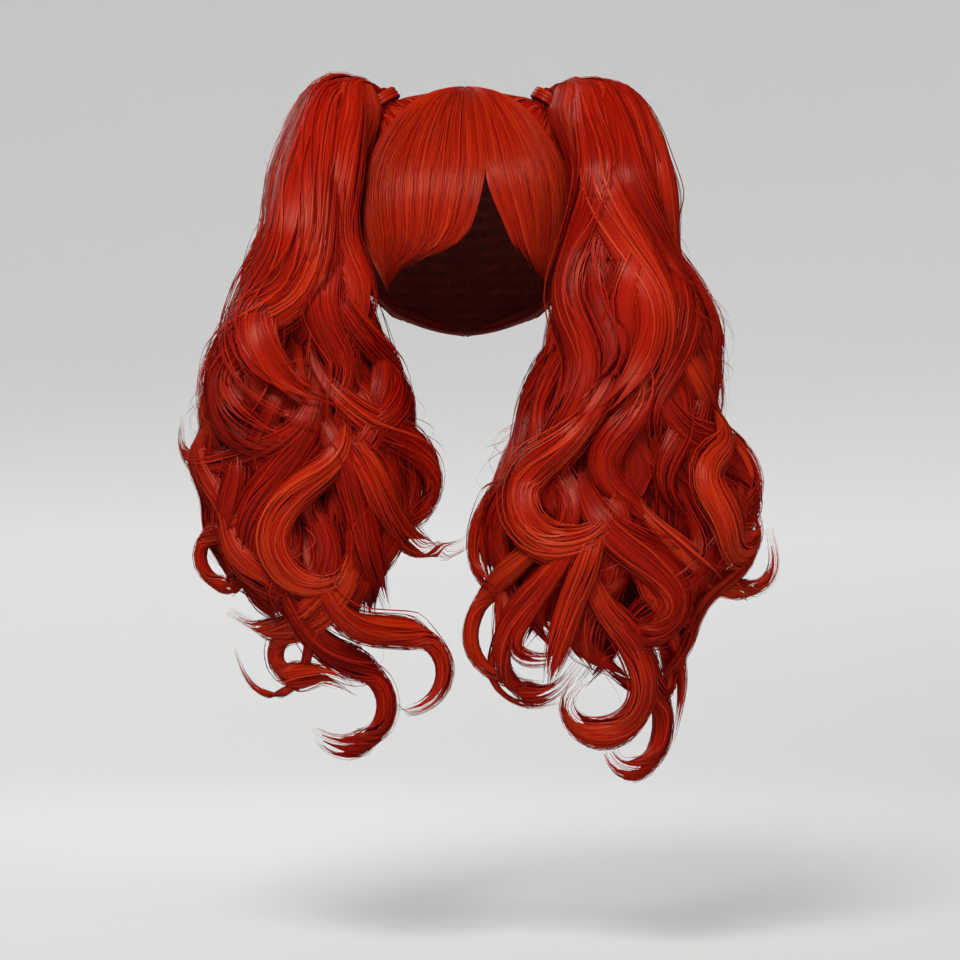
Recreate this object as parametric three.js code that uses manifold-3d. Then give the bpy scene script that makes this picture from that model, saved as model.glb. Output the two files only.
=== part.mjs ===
// Curly twin-tail wig: a fitted hollow cap, a parted fringe, combed side hair, and two
// curly pigtails that each spring from a hair-wrapped tie.
// Millimetres, +Z up. The wearer faces -Y, and +X is on the viewer's right.
// The origin is where the crown of the head meets the inside of the cap.
import * as THREE from "three";
import { mergeVertices } from "three/addons/utils/BufferGeometryUtils.js";
import Module from "manifold-3d";

const wasm = await Module();
wasm.setup();

// Driving dimensions
const HEAD = { halfWidth: 76, halfDepth: 97, crownToWidest: 100 };
const CAP_WALL = 1.6;
const GAP = 0.35;
const FACET_SAG = 0.6;
const HAIR_LIFT = CAP_WALL + GAP + FACET_SAG;
const CROWN = { polar: 3, lift: 3, fades: [15, 55] };
const SIDE_HAIR = { front: 82, back: 179.6, thickness: 5.5, pastRim: 2, rows: 11 };
const SIDE_COMB = { ridge: 0.9, ridges: 6, rises: [0.1, 0.4] };
const FRINGE = { thickness: 5.5, edgeThickness: 1.4, thinsFrom: 0.6, rows: 8 };
const FRINGE_COMB = { ridge: 1.1, ridges: 7, rises: [0.1, 0.5] };
const BROW = { standOff: 6, polars: [35, 80], azimuths: [30, 55] };
const CAP_GRID = { columns: 34, rows: 7 };
const TIE_SEAT = { azimuth: 98, polar: 36, mound: 11.5, spread: 13 };
const TIE = { innerRadius: 10.2, bandRadius: 1.7, turns: 3, pitch: 2.7, roundness: 0.46, segments: 10 };
const NECK = { radius: 9.4, aboveTie: 1, endRadius: 16, endOut: 84, endDeep: 5, endHeight: 5, sides: 10 };
const TRUNK = { points: 18, flute: 0.07, rings: 14, domeStep: 0.35, domeShare: 0.5 };
const LOCK = { sides: 5, ringsPerBend: 1.5, depthRatio: 0.72, sway: 4, tapersFrom: 0.45, tipShare: 0.35 };
const LOCK_ROOT = { rise: 16, sink: 16 };
const LOCK_CLEARANCE = 0.4;
const WEARER_NECK = { radius: 52, y: 14, top: -190, blend: 40 };
const HAIR_CLEARANCE = 12.6;
const FUSE_TOLERANCE = 1.4;
const MERGE_DISTANCE = 1e-3;

// The cap's hairline: how far down from the crown, as a polar angle, at each azimuth from the front.
const HAIRLINE = [
  { azimuth: 0, polar: 58 },
  { azimuth: 40, polar: 66 },
  { azimuth: 62, polar: 88 },
  { azimuth: 80, polar: 106 },
  { azimuth: 100, polar: 101 },
  { azimuth: 130, polar: 118 },
  { azimuth: 180, polar: 127 },
];

// The cut edge of each fringe petal, from the parting round to the temple.
const FRINGE_EDGE = {
  left: [
    { azimuth: 9, polar: 71.5 },
    { azimuth: 7.5, polar: 76 },
    { azimuth: 2.5, polar: 89 },
    { azimuth: -5, polar: 95 },
    { azimuth: -14, polar: 98 },
    { azimuth: -25, polar: 99.5 },
    { azimuth: -32, polar: 104 },
    { azimuth: -43, polar: 110.5 },
    { azimuth: -58, polar: 97 },
    { azimuth: -70, polar: 82 },
    { azimuth: -80, polar: 64 },
  ],
  right: [
    { azimuth: 11, polar: 71.5 },
    { azimuth: 12.5, polar: 76 },
    { azimuth: 17, polar: 84.5 },
    { azimuth: 22.5, polar: 94 },
    { azimuth: 30, polar: 101 },
    { azimuth: 38, polar: 105.5 },
    { azimuth: 46, polar: 107 },
    { azimuth: 56, polar: 101 },
    { azimuth: 69, polar: 88 },
    { azimuth: 80, polar: 68 },
  ],
};

// Level sections of each tail's trunk: distances out from the middle of the head, and front and back.
const TRUNK_SECTIONS = {
  left: [
    { z: 21, inner: 74, outer: 93, front: -8, back: 16 },
    { z: 12, inner: 73, outer: 109, front: -25, back: 30 },
    { z: -5, inner: 75, outer: 121, front: -38, back: 38 },
    { z: -30, inner: 69, outer: 127, front: -54, back: 42 },
    { z: -70, inner: 76, outer: 128, front: -72, back: 42 },
    { z: -110, inner: 70, outer: 133, front: -84, back: 38 },
    { z: -150, inner: 58, outer: 153, front: -90, back: 36 },
    { z: -185, inner: 52, outer: 174, front: -92, back: 35 },
    { z: -220, inner: 38, outer: 180, front: -93, back: 34 },
    { z: -255, inner: 30, outer: 178, front: -94, back: 31 },
    { z: -290, inner: 40, outer: 173, front: -94, back: 25 },
    { z: -325, inner: 55, outer: 162, front: -91, back: 16 },
    { z: -355, inner: 62, outer: 142, front: -84, back: 2 },
    { z: -385, inner: 66, outer: 120, front: -72, back: -14 },
    { z: -404, inner: 78, outer: 104, front: -58, back: -30 },
  ],
  right: [
    { z: 21, inner: 75, outer: 98, front: -8, back: 16 },
    { z: 12, inner: 74, outer: 115, front: -25, back: 30 },
    { z: -5, inner: 75, outer: 128, front: -38, back: 38 },
    { z: -30, inner: 69, outer: 135, front: -54, back: 42 },
    { z: -70, inner: 76, outer: 137, front: -72, back: 42 },
    { z: -110, inner: 70, outer: 143, front: -84, back: 38 },
    { z: -150, inner: 60, outer: 169, front: -90, back: 36 },
    { z: -185, inner: 56, outer: 174, front: -92, back: 35 },
    { z: -220, inner: 40, outer: 172, front: -94, back: 34 },
    { z: -255, inner: 24, outer: 182, front: -97, back: 33 },
    { z: -290, inner: 17, outer: 195, front: -99, back: 30 },
    { z: -325, inner: 15, outer: 184, front: -98, back: 22 },
    { z: -360, inner: 18, outer: 154, front: -91, back: 8 },
    { z: -395, inner: 30, outer: 138, front: -80, back: -8 },
    { z: -425, inner: 58, outer: 130, front: -68, back: -22 },
    { z: -446, inner: 84, outer: 116, front: -54, back: -36 },
  ],
};

// The locks of each tail, lying on its trunk. A lock is drawn through a few bends, [x, z] seen from
// the front. lift is how far its middle stands off the trunk.
const LOCKS = {
  left: [
    { name: "outer_drop", width: 24, lift: -4,
      bends: [[-124, -40], [-131, -80], [-136, -125], [-153, -156], [-178, -187]] },
    { name: "side_loop", width: 15, lift: 2,
      bends: [[-128, -84], [-146, -106], [-156, -128], [-140, -146]] },
    { name: "shoulder", width: 28, lift: 5,
      bends: [[-104, -123], [-115, -147], [-150, -162], [-177, -190], [-178, -225], [-158, -256]] },
    { name: "broad_wave", width: 28, lift: 1,
      bends: [[-140, -160], [-158, -195], [-152, -226], [-124, -240], [-92, -222]] },
    { name: "front_fall", width: 24, lift: 3,
      bends: [[-78, -50], [-86, -100], [-72, -148], [-84, -188], [-64, -222]] },
    { name: "mid_fall", width: 24, lift: 2,
      bends: [[-104, -64], [-92, -118], [-98, -150], [-80, -190], [-92, -225], [-70, -262]] },
    { name: "inner_loop", width: 20, lift: 7,
      bends: [[-74, -160], [-50, -190], [-48, -222], [-72, -236], [-86, -214]] },
    { name: "inner_bulge", width: 22, lift: 4,
      bends: [[-72, -222], [-40, -238], [-22, -262], [-28, -288], [-48, -300]] },
    { name: "flick_right", width: 16, lift: 5,
      bends: [[-62, -270], [-52, -296], [-30, -306], [-2, -304]] },
    { name: "left_c", width: 15, lift: 4,
      bends: [[-166, -205], [-188, -222], [-196, -246], [-178, -264], [-140, -256]] },
    { name: "ringlet_a", width: 22, lift: 2,
      bends: [[-104, -228], [-128, -262], [-148, -292], [-146, -326], [-120, -342], [-98, -330]] },
    { name: "ringlet_b", width: 20, lift: 8,
      bends: [[-84, -250], [-116, -276], [-132, -306], [-116, -336], [-88, -338], [-76, -318]] },
    { name: "low_left_ring", width: 15, lift: 4,
      bends: [[-150, -292], [-178, -304], [-187, -324], [-168, -342], [-148, -334]] },
    { name: "inner_drop", width: 20, lift: 4,
      bends: [[-84, -248], [-72, -290], [-64, -320], [-54, -358]] },
    { name: "bottom_arc", width: 18, lift: 3,
      bends: [[-78, -338], [-104, -364], [-140, -370], [-162, -358]] },
    { name: "ring_right", width: 22, lift: 6,
      bends: [[-92, -340], [-72, -364], [-38, -366], [-14, -390], [-18, -420], [-50, -430]] },
    { name: "ring_left", width: 24, lift: 2,
      bends: [[-112, -348], [-96, -380], [-68, -402], [-54, -430], [-78, -452], [-104, -446]] },
    { name: "flick_left", width: 12, lift: 2,
      bends: [[-108, -366], [-132, -412], [-150, -406], [-160, -386]] },
  ],
  right: [
    { name: "outer_drop", width: 26, lift: -4,
      bends: [[134, -50], [142, -100], [168, -138], [172, -180], [164, -215], [184, -240]] },
    { name: "face_frame", width: 26, lift: 5,
      bends: [[82, -60], [70, -108], [70, -150], [84, -186], [64, -228], [38, -266]] },
    { name: "second_s", width: 26, lift: 3,
      bends: [[94, -70], [118, -118], [134, -150], [128, -184], [104, -216], [70, -240]] },
    { name: "third_s", width: 26, lift: 1,
      bends: [[116, -70], [140, -118], [152, -156], [140, -194], [124, -224], [134, -258]] },
    { name: "outer_low", width: 24, lift: 1,
      bends: [[160, -196], [172, -228], [194, -250], [202, -278], [182, -296]] },
    { name: "fluff", width: 26, lift: 6,
      bends: [[134, -266], [166, -250], [194, -266], [200, -290], [172, -310]] },
    { name: "right_flick", width: 16, lift: 3,
      bends: [[152, -318], [172, -338], [200, -344], [216, -330], [211, -300]] },
    { name: "big_ring", width: 26, lift: 8,
      bends: [[70, -240], [42, -262], [38, -292], [60, -314], [94, -304], [106, -272]] },
    { name: "centre_roll", width: 26, lift: 6,
      bends: [[96, -300], [132, -326], [146, -352], [122, -374], [92, -356]] },
    { name: "left_c", width: 20, lift: 3,
      bends: [[40, -262], [16, -278], [10, -306], [16, -338], [36, -348]] },
    { name: "left_c2", width: 20, lift: 1,
      bends: [[34, -306], [14, -346], [9, -380], [28, -406], [58, -412]] },
    { name: "left_ring", width: 20, lift: 6,
      bends: [[60, -330], [34, -356], [28, -392], [48, -418], [78, -414]] },
    { name: "strand_mid", width: 16, lift: 9,
      bends: [[84, -318], [72, -352], [62, -388], [58, -412]] },
    { name: "bottom_ring", width: 24, lift: 6,
      bends: [[88, -350], [112, -380], [124, -412], [106, -440], [78, -436], [70, -416]] },
    { name: "bottom_tip", width: 24, lift: 2,
      bends: [[110, -370], [136, -422], [136, -454], [114, -470], [92, -464]] },
    { name: "right_wisp", width: 12, lift: 4,
      bends: [[132, -350], [150, -394], [150, -424], [144, -450]] },
    { name: "right_curl", width: 16, lift: 3,
      bends: [[126, -346], [146, -352], [158, -372], [146, -388], [126, -380]] },
  ],
};

// Some of the same locks, carried round the trunk, finish its outer side and its back.
const TURNED_LOCKS = {
  left: [
    { turn: -90, names: ["mid_fall", "ringlet_b", "inner_drop"] },
    { turn: 180, names: ["mid_fall", "inner_loop", "ringlet_a"] },
  ],
  right: [
    { turn: 90, names: ["second_s", "big_ring", "bottom_ring"] },
    { turn: 180, names: ["third_s", "big_ring", "left_ring"] },
  ],
};

const HAIR = new THREE.MeshStandardMaterial({ color: 0xa81c0e, roughness: 0.45, metalness: 0 });
const WRAP = new THREE.MeshStandardMaterial({ color: 0x94170c, roughness: 0.5, metalness: 0 });
const NET = new THREE.MeshStandardMaterial({ color: 0x5e100b, roughness: 0.85, metalness: 0 });

const radians = THREE.MathUtils.degToRad;
const { lerp, smoothstep } = THREE.MathUtils;

// A column of a table at any value of its key, as a smooth curve through the rows.
function column(rows, key, name, at) {
  const rising = rows[0][key] < rows[rows.length - 1][key];
  const sorted = rising ? rows : [...rows].reverse();
  const last = sorted.length - 1;
  let i = sorted.findIndex((row) => row[key] > at) - 1;
  if (i === -2) i = last - 1;
  i = Math.max(0, Math.min(i, last - 1));
  const value = (k) => sorted[Math.max(0, Math.min(k, last))][name];
  const span = sorted[i + 1][key] - sorted[i][key];
  const t = THREE.MathUtils.clamp((at - sorted[i][key]) / span, 0, 1);
  const rise = (value(i + 1) - value(i - 1)) / 2;
  const nextRise = (value(i + 2) - value(i)) / 2;
  const swing = value(i + 1) - value(i);
  return value(i) + t * (rise + t * (3 * swing - 2 * rise - nextRise + t * (rise + nextRise - 2 * swing)));
}

// A point lifted off the head, by its polar angle from the crown and its azimuth from the front.
function onHead(polar, azimuth, lift) {
  const p = radians(polar);
  const a = radians(azimuth);
  return new THREE.Vector3(
    (HEAD.halfWidth + lift) * Math.sin(p) * Math.sin(a),
    -(HEAD.halfDepth + lift) * Math.sin(p) * Math.cos(a),
    -HEAD.crownToWidest + (HEAD.crownToWidest + lift) * Math.cos(p),
  );
}

// Moves a point straight out from an upright oval, on its own level, until it is no longer inside.
function outOfOval(point, middleY, halfWidth, halfDepth) {
  const reach = Math.hypot(point.x / halfWidth, (point.y - middleY) / halfDepth);
  if (reach >= 1 || reach === 0) return point;
  return new THREE.Vector3(point.x / reach, middleY + (point.y - middleY) / reach, point.z);
}

// Keeps a point of loose hair clear of the dressed head by lift, and of the wearer's neck below it.
function clearOfWearer(point, lift) {
  const level = (point.z + HEAD.crownToWidest) / (HEAD.crownToWidest + lift);
  const share = Math.sqrt(Math.max(1 - level * level, 0));
  const [halfWidth, halfDepth] = [(HEAD.halfWidth + lift) * share, (HEAD.halfDepth + lift) * share];
  const belowJaw = WEARER_NECK.top - point.z;
  const reach = WEARER_NECK.radius * smoothstep(belowJaw, 0, WEARER_NECK.blend);
  let clear = point;
  if (share > 0) clear = outOfOval(clear, 0, halfWidth, halfDepth);
  if (reach > 0) clear = outOfOval(clear, WEARER_NECK.y, reach, reach);
  return clear;
}

// Closed geometry from vertices and triangles, with shared vertices merged and its faces turned outwards.
function closedGeometry(points, triangles) {
  const raw = new THREE.BufferGeometry().setFromPoints(points);
  raw.setIndex(triangles);
  const geometry = mergeVertices(raw, MERGE_DISTANCE);
  const position = geometry.getAttribute("position");
  const corner = (i) => new THREE.Vector3().fromBufferAttribute(position, geometry.index.getX(i));
  const kept = [];
  let volume = 0;
  for (let i = 0; i < geometry.index.count; i += 3) {
    const ids = [0, 1, 2].map((k) => geometry.index.getX(i + k));
    if (new Set(ids).size < 3) continue;
    kept.push(ids);
    volume += corner(i).dot(corner(i + 1).cross(corner(i + 2)));
  }
  if (volume < 0) kept.forEach((ids) => ids.reverse());
  geometry.setIndex(kept.flat());
  geometry.computeVertexNormals();
  return geometry;
}

// Rows of quads, each row a closed loop, as triangles.
function gridTriangles(rows, columns) {
  const triangles = [];
  for (let i = 0; i < rows - 1; i++) {
    for (let j = 0; j < columns; j++) {
      const k = (j + 1) % columns;
      const [a, b] = [i * columns + j, i * columns + k];
      const [c, d] = [a + columns, b + columns];
      triangles.push(a, c, b, b, c, d);
    }
  }
  return triangles;
}

// A solid lofted through rings of points, with a flat fan on each end.
function loft(rings) {
  const sides = rings[0].length;
  const points = rings.flat();
  const triangles = gridTriangles(rings.length, sides);
  const ends = [
    { ring: rings[0], first: 0, flip: true },
    { ring: rings.at(-1), first: points.length - sides, flip: false },
  ];
  for (const { ring, first, flip } of ends) {
    const middle = ring.reduce((sum, p) => sum.add(p), new THREE.Vector3()).divideScalar(sides);
    const hub = points.push(middle) - 1;
    for (let j = 0; j < sides; j++) {
      const edge = [first + j, first + ((j + 1) % sides)];
      triangles.push(hub, ...(flip ? edge : edge.reverse()));
    }
  }
  return closedGeometry(points, triangles);
}

// A curved sheet with a real thickness: place(across, along, face) gives its outer (1) and inner (0) face.
function sheet(place, columns, rows) {
  const points = [];
  const loopCount = 2 * columns;
  for (let i = 0; i < rows; i++) {
    const along = i / (rows - 1);
    for (let j = 0; j < columns; j++) points.push(place(j / (columns - 1), along, 1));
    for (let j = columns - 1; j >= 0; j--) points.push(place(j / (columns - 1), along, 0));
  }
  const triangles = gridTriangles(rows, loopCount);
  for (const row of [0, rows - 1]) {
    for (let j = 0; j < columns - 1; j++) {
      const outer = row * loopCount + j;
      const inner = row * loopCount + loopCount - 1 - j;
      const quad = [outer, outer + 1, inner, outer + 1, inner - 1, inner];
      triangles.push(...(row === 0 ? quad : quad.reverse()));
    }
  }
  return closedGeometry(points, triangles);
}

function solidOf(geometry) {
  return new wasm.Manifold(
    new wasm.Mesh({
      numProp: 3,
      vertProperties: new Float32Array(geometry.getAttribute("position").array),
      triVerts: new Uint32Array(geometry.index.array),
    }),
  );
}

function geometryOf(solid) {
  const { vertProperties, triVerts } = solid.getMesh();
  const geometry = new THREE.BufferGeometry();
  geometry.setAttribute("position", new THREE.BufferAttribute(vertProperties, 3));
  geometry.setIndex(new THREE.BufferAttribute(triVerts, 1));
  geometry.computeVertexNormals();
  return geometry;
}

function piece(name, geometry, material) {
  const mesh = new THREE.Mesh(geometry, material);
  mesh.name = name;
  return mesh;
}

// Hair is a little deeper over the crown.
function crownLift(polar) {
  return CROWN.lift * (1 - smoothstep(polar, ...CROWN.fades));
}

// Combed hair has low ridges, which rise as they leave the crown.
function combRidge({ ridge, ridges, rises }, across, along) {
  return ridge * Math.cos(2 * Math.PI * ridges * across) * smoothstep(along, ...rises);
}

function hairlinePolar(azimuth) {
  return column(HAIRLINE, "azimuth", "polar", Math.abs(azimuth));
}

// The cap is an open bowl, one wall thick, cut off along the hairline.
function cap() {
  const { columns, rows } = CAP_GRID;
  const points = [];
  for (let i = 0; i < 2 * rows; i++) {
    const outside = i < rows;
    const down = (outside ? i : 2 * rows - 1 - i) / (rows - 1);
    for (let j = 0; j < columns; j++) {
      const azimuth = (360 * j) / columns - 180;
      points.push(onHead(down * hairlinePolar(azimuth), azimuth, outside ? CAP_WALL : 0));
    }
  }
  return piece("cap", closedGeometry(points, gridTriangles(2 * rows, columns)), NET);
}

// A petal of the fringe lies on the crown, stands off the brow and thins to its cut edge.
function fringe(side) {
  const rows = FRINGE_EDGE[side];
  const [from, to] = [rows[0].azimuth, rows.at(-1).azimuth];
  const place = (across, along, face) => {
    const azimuth = lerp(from, to, across);
    const polar = lerp(CROWN.polar, column(rows, "azimuth", "polar", azimuth), along);
    const fromTemple = 1 - smoothstep(Math.abs(azimuth), ...BROW.azimuths);
    const standOff = BROW.standOff * smoothstep(polar, ...BROW.polars) * fromTemple;
    const full = FRINGE.thickness + combRidge(FRINGE_COMB, across, along) + crownLift(polar);
    const thickness = lerp(full, FRINGE.edgeThickness, smoothstep(along, FRINGE.thinsFrom, 1));
    return onHead(polar, azimuth, HAIR_LIFT + standOff + face * thickness);
  };
  return piece(`fringe_${side}`, sheet(place, 2 * FRINGE_COMB.ridges + 1, FRINGE.rows), HAIR);
}

// Each half of the head has its hair combed to the tie, where it is drawn up into a mound.
function sideHair(side) {
  const sign = side === "right" ? 1 : -1;
  const place = (across, along, face) => {
    const azimuth = lerp(SIDE_HAIR.front, SIDE_HAIR.back, across);
    const polar = lerp(CROWN.polar, hairlinePolar(azimuth) + SIDE_HAIR.pastRim, along);
    const azimuthFromSeat = (azimuth - TIE_SEAT.azimuth) * Math.sin(radians(polar));
    const fromSeat = Math.hypot(polar - TIE_SEAT.polar, azimuthFromSeat) / TIE_SEAT.spread;
    const mound = TIE_SEAT.mound * Math.exp(-fromSeat * fromSeat);
    const full = SIDE_HAIR.thickness + combRidge(SIDE_COMB, across, along) + crownLift(polar);
    return onHead(polar, sign * azimuth, HAIR_LIFT + face * (full + mound));
  };
  return piece(`side_hair_${side}`, sheet(place, 2 * SIDE_COMB.ridges + 1, SIDE_HAIR.rows), HAIR);
}

// Where the tie sits on the mound, and the way it points.
function tieSeat(side) {
  const sign = side === "right" ? 1 : -1;
  const hair = SIDE_HAIR.thickness + SIDE_COMB.ridge + crownLift(TIE_SEAT.polar);
  const lift = HAIR_LIFT + hair + TIE_SEAT.mound;
  const foot = onHead(TIE_SEAT.polar, sign * TIE_SEAT.azimuth, lift);
  const higher = onHead(TIE_SEAT.polar, sign * TIE_SEAT.azimuth, lift + 1);
  return { foot, axis: higher.sub(foot).normalize() };
}

// The tie is a band wound round the root of the tail, its turns side by side.
function tie(side) {
  const { foot, axis } = tieSeat(side);
  const profile = [new THREE.Vector2(TIE.innerRadius, GAP)];
  const arcSteps = 2;
  for (let turn = 0; turn < TIE.turns; turn++) {
    for (let k = 0; k <= arcSteps; k++) {
      const angle = -Math.PI / 2 + (Math.PI * k) / arcSteps;
      const radius = TIE.innerRadius + TIE.bandRadius * (1 + Math.cos(angle));
      const height = GAP + TIE.pitch * (turn + 0.5 + TIE.roundness * Math.sin(angle));
      profile.push(new THREE.Vector2(radius, height));
    }
  }
  profile.push(new THREE.Vector2(TIE.innerRadius, GAP + TIE.pitch * TIE.turns));
  profile.push(profile[0].clone());
  const lathe = new THREE.LatheGeometry(profile, TIE.segments);
  lathe.deleteAttribute("uv");
  lathe.deleteAttribute("normal");
  const ring = mergeVertices(lathe, MERGE_DISTANCE);
  const points = [];
  const position = ring.getAttribute("position");
  for (let i = 0; i < position.count; i++) points.push(new THREE.Vector3().fromBufferAttribute(position, i));
  const mesh = piece(`tie_${side}`, closedGeometry(points, Array.from(ring.index.array)), WRAP);
  mesh.quaternion.setFromUnitVectors(new THREE.Vector3(0, 1, 0), axis);
  mesh.position.copy(foot);
  return mesh;
}

// The neck carries the hair straight up through the tie, then over into the top of the trunk.
function neck(side) {
  const sign = side === "right" ? 1 : -1;
  const { foot, axis } = tieSeat(side);
  const tieTop = foot.clone().addScaledVector(axis, GAP + TIE.pitch * TIE.turns + NECK.aboveTie);
  const end = new THREE.Vector3(sign * NECK.endOut, NECK.endDeep, NECK.endHeight);
  const ringAt = (middle, along, radius) => {
    const across = new THREE.Vector3(0, 1, 0).cross(along).normalize();
    const deep = along.clone().cross(across);
    return Array.from({ length: NECK.sides }, (_, k) => {
      const angle = (2 * Math.PI * k) / NECK.sides;
      return middle.clone()
        .addScaledVector(across, radius * Math.cos(angle))
        .addScaledVector(deep, radius * Math.sin(angle));
    });
  };
  return loft([
    ringAt(foot.clone().addScaledVector(axis, GAP), axis, NECK.radius),
    ringAt(tieTop, axis, NECK.radius),
    ringAt(end, end.clone().sub(tieTop).normalize(), NECK.endRadius),
  ]);
}

// The level section of a trunk at one height: its middle, and half its width and depth.
function trunkSection(side, z) {
  const sign = side === "right" ? 1 : -1;
  const rows = TRUNK_SECTIONS[side];
  const at = (name) => column(rows, "z", name, z);
  return {
    middle: new THREE.Vector3(sign * (at("outer") + at("inner")) / 2, (at("back") + at("front")) / 2, z),
    halfWidth: (at("outer") - at("inner")) / 2,
    halfDepth: (at("back") - at("front")) / 2,
  };
}

// A point round a trunk's section, by its angle from the front, lifted off it.
function roundTrunk({ middle, halfWidth, halfDepth }, angle, lift, scale = 1) {
  return new THREE.Vector3(
    middle.x + (halfWidth * scale + lift) * Math.sin(angle),
    middle.y - (halfDepth * scale + lift) * Math.cos(angle),
    middle.z,
  );
}

// The trunk is the body of the tail: fluted level sections from its domed top down into the curls.
function trunk(side) {
  const rows = TRUNK_SECTIONS[side];
  const [top, foot] = [rows[0].z, rows.at(-1).z];
  const rings = [];
  for (let i = 0; i <= TRUNK.rings; i++) {
    const along = i / TRUNK.rings;
    const step = lerp(TRUNK.domeStep, 1, smoothstep(along, 0, TRUNK.domeShare));
    const section = trunkSection(side, lerp(top, foot, along * step));
    rings.push(
      Array.from({ length: TRUNK.points }, (_, k) => {
        const angle = (2 * Math.PI * k) / TRUNK.points;
        const point = roundTrunk(section, angle, 0, 1 - (k % 2) * TRUNK.flute);
        return clearOfWearer(point, HAIR_CLEARANCE);
      }),
    );
  }
  return loft(rings);
}

// A lock is a flattened tube. It leaves the inside of the trunk, follows its bends over the surface
// and beyond, and is drawn out to a tip.
function lock(row, side, turn) {
  const foot = TRUNK_SECTIONS[side].at(-1).z;
  const placed = (x, z, lift) => {
    const section = trunkSection(side, z);
    const share = (x - section.middle.x) / (section.halfWidth + lift);
    const angle = Math.asin(THREE.MathUtils.clamp(share, -1, 1)) + radians(turn);
    const beyond = Math.max(Math.abs(share) - 1, 0) * (section.halfWidth + lift);
    return { point: roundTrunk(section, angle, lift + beyond), angle };
  };
  const bends = row.bends.map(([x, z], i) => placed(x, z, row.lift + LOCK.sway * (i % 2 ? -1 : 1)));
  const [firstX, firstZ] = row.bends[0];
  const root = placed(firstX, Math.max(firstZ, foot) + LOCK_ROOT.rise, -LOCK_ROOT.sink);
  const stations = [root, ...bends];
  const curve = new THREE.CatmullRomCurve3(
    stations.map(({ point }) => clearOfWearer(point, HAIR_CLEARANCE + row.width * LOCK_CLEARANCE)),
    false,
    "centripetal",
  );
  const count = Math.round(bends.length * LOCK.ringsPerBend);
  const rings = [];
  for (let i = 0; i <= count; i++) {
    const along = i / count;
    const [middle, tangent] = [curve.getPoint(along), curve.getTangent(along)];
    const from = Math.min(Math.floor(along * bends.length), bends.length - 1);
    const angle = lerp(stations[from].angle, stations[from + 1].angle, along * bends.length - from);
    const facing = new THREE.Vector3(Math.sin(angle), -Math.cos(angle), 0);
    const sideways = tangent.clone().cross(facing).normalize();
    const outwards = sideways.clone().cross(tangent).normalize();
    const half = (row.width / 2) * lerp(1, LOCK.tipShare, smoothstep(along, LOCK.tapersFrom, 1));
    rings.push(
      Array.from({ length: LOCK.sides }, (_, k) => {
        const turnAngle = (2 * Math.PI * (k + 0.5)) / LOCK.sides;
        return middle.clone()
          .addScaledVector(sideways, half * Math.cos(turnAngle))
          .addScaledVector(outwards, half * LOCK.depthRatio * Math.sin(turnAngle));
      }),
    );
  }
  return loft(rings);
}

// A pigtail is its neck, its trunk and all its locks, fused into one solid. Small hollows sealed in
// between the locks are left out by keeping its largest shell, and slivers are smoothed away.
function pigtail(side) {
  const rows = LOCKS[side];
  const shapes = [neck(side), trunk(side), ...rows.map((row) => lock(row, side, 0))];
  for (const { turn, names } of TURNED_LOCKS[side]) {
    for (const name of names) shapes.push(lock(rows.find((row) => row.name === name), side, turn));
  }
  const fused = shapes.map(solidOf).reduce((whole, shape) => whole.add(shape));
  const smoothed = geometryOf(fused.asOriginal().simplify(FUSE_TOLERANCE));
  const shells = solidOf(smoothed).decompose();
  const body = shells.reduce((largest, shell) => (shell.volume() > largest.volume() ? shell : largest));
  return piece(`pigtail_${side}`, geometryOf(body), HAIR);
}

const wig = new THREE.Group();
wig.add(cap());
for (const side of ["left", "right"]) {
  wig.add(fringe(side), sideHair(side), tie(side), pigtail(side));
}

export default wig;
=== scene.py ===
import bpy
import numpy as np
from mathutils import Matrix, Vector


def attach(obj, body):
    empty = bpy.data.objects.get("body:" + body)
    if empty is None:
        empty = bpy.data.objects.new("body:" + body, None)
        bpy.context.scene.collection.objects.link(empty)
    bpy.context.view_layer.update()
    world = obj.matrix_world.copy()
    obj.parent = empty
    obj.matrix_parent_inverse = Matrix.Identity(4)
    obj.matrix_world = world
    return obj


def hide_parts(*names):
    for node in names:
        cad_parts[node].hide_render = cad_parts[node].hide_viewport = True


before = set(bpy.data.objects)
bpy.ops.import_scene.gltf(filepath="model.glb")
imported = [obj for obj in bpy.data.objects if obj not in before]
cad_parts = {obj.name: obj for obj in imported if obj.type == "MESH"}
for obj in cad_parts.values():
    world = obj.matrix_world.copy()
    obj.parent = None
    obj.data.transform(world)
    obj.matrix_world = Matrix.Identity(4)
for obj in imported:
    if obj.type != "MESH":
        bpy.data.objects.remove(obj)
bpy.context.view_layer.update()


# Cap
# The foundation that sits on the head: a bowl of dark red stretch net, cut off along the hairline.
# Wefts are sewn round it in rows, and an elastic band is folded over its rim.
MM = 0.001
HEAD_HALF_WIDTH = 76.0
HEAD_HALF_DEPTH = 97.0
CROWN_TO_WIDEST = 100.0
CAP_WALL = 1.6
CAP_ROWS = 66
CAP_COLUMNS = 120
WEFT_PITCH = 5.6
WEFT_RISE = 0.55
WEFT_SHARPNESS = 6
RIM_BAND = 5.5
RIM_RISE = 0.8
RIM_STEP = 0.6
RIM_TONE = 0.6
# The hairline's turn from the front and its angle down from the crown. Its first and last points only
# mirror it past the front and the back, so that it runs level there.
HAIRLINE_AZIMUTHS = [-40, 0, 40, 62, 80, 100, 130, 180, 230]
HAIRLINE_POLARS = [66, 58, 66, 88, 106, 101, 118, 127, 118]
NET_DARK = (0.075, 0.007, 0.005, 1)
NET_LIGHT = (0.300, 0.034, 0.022, 1)
NET_CELLS = 620


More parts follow.
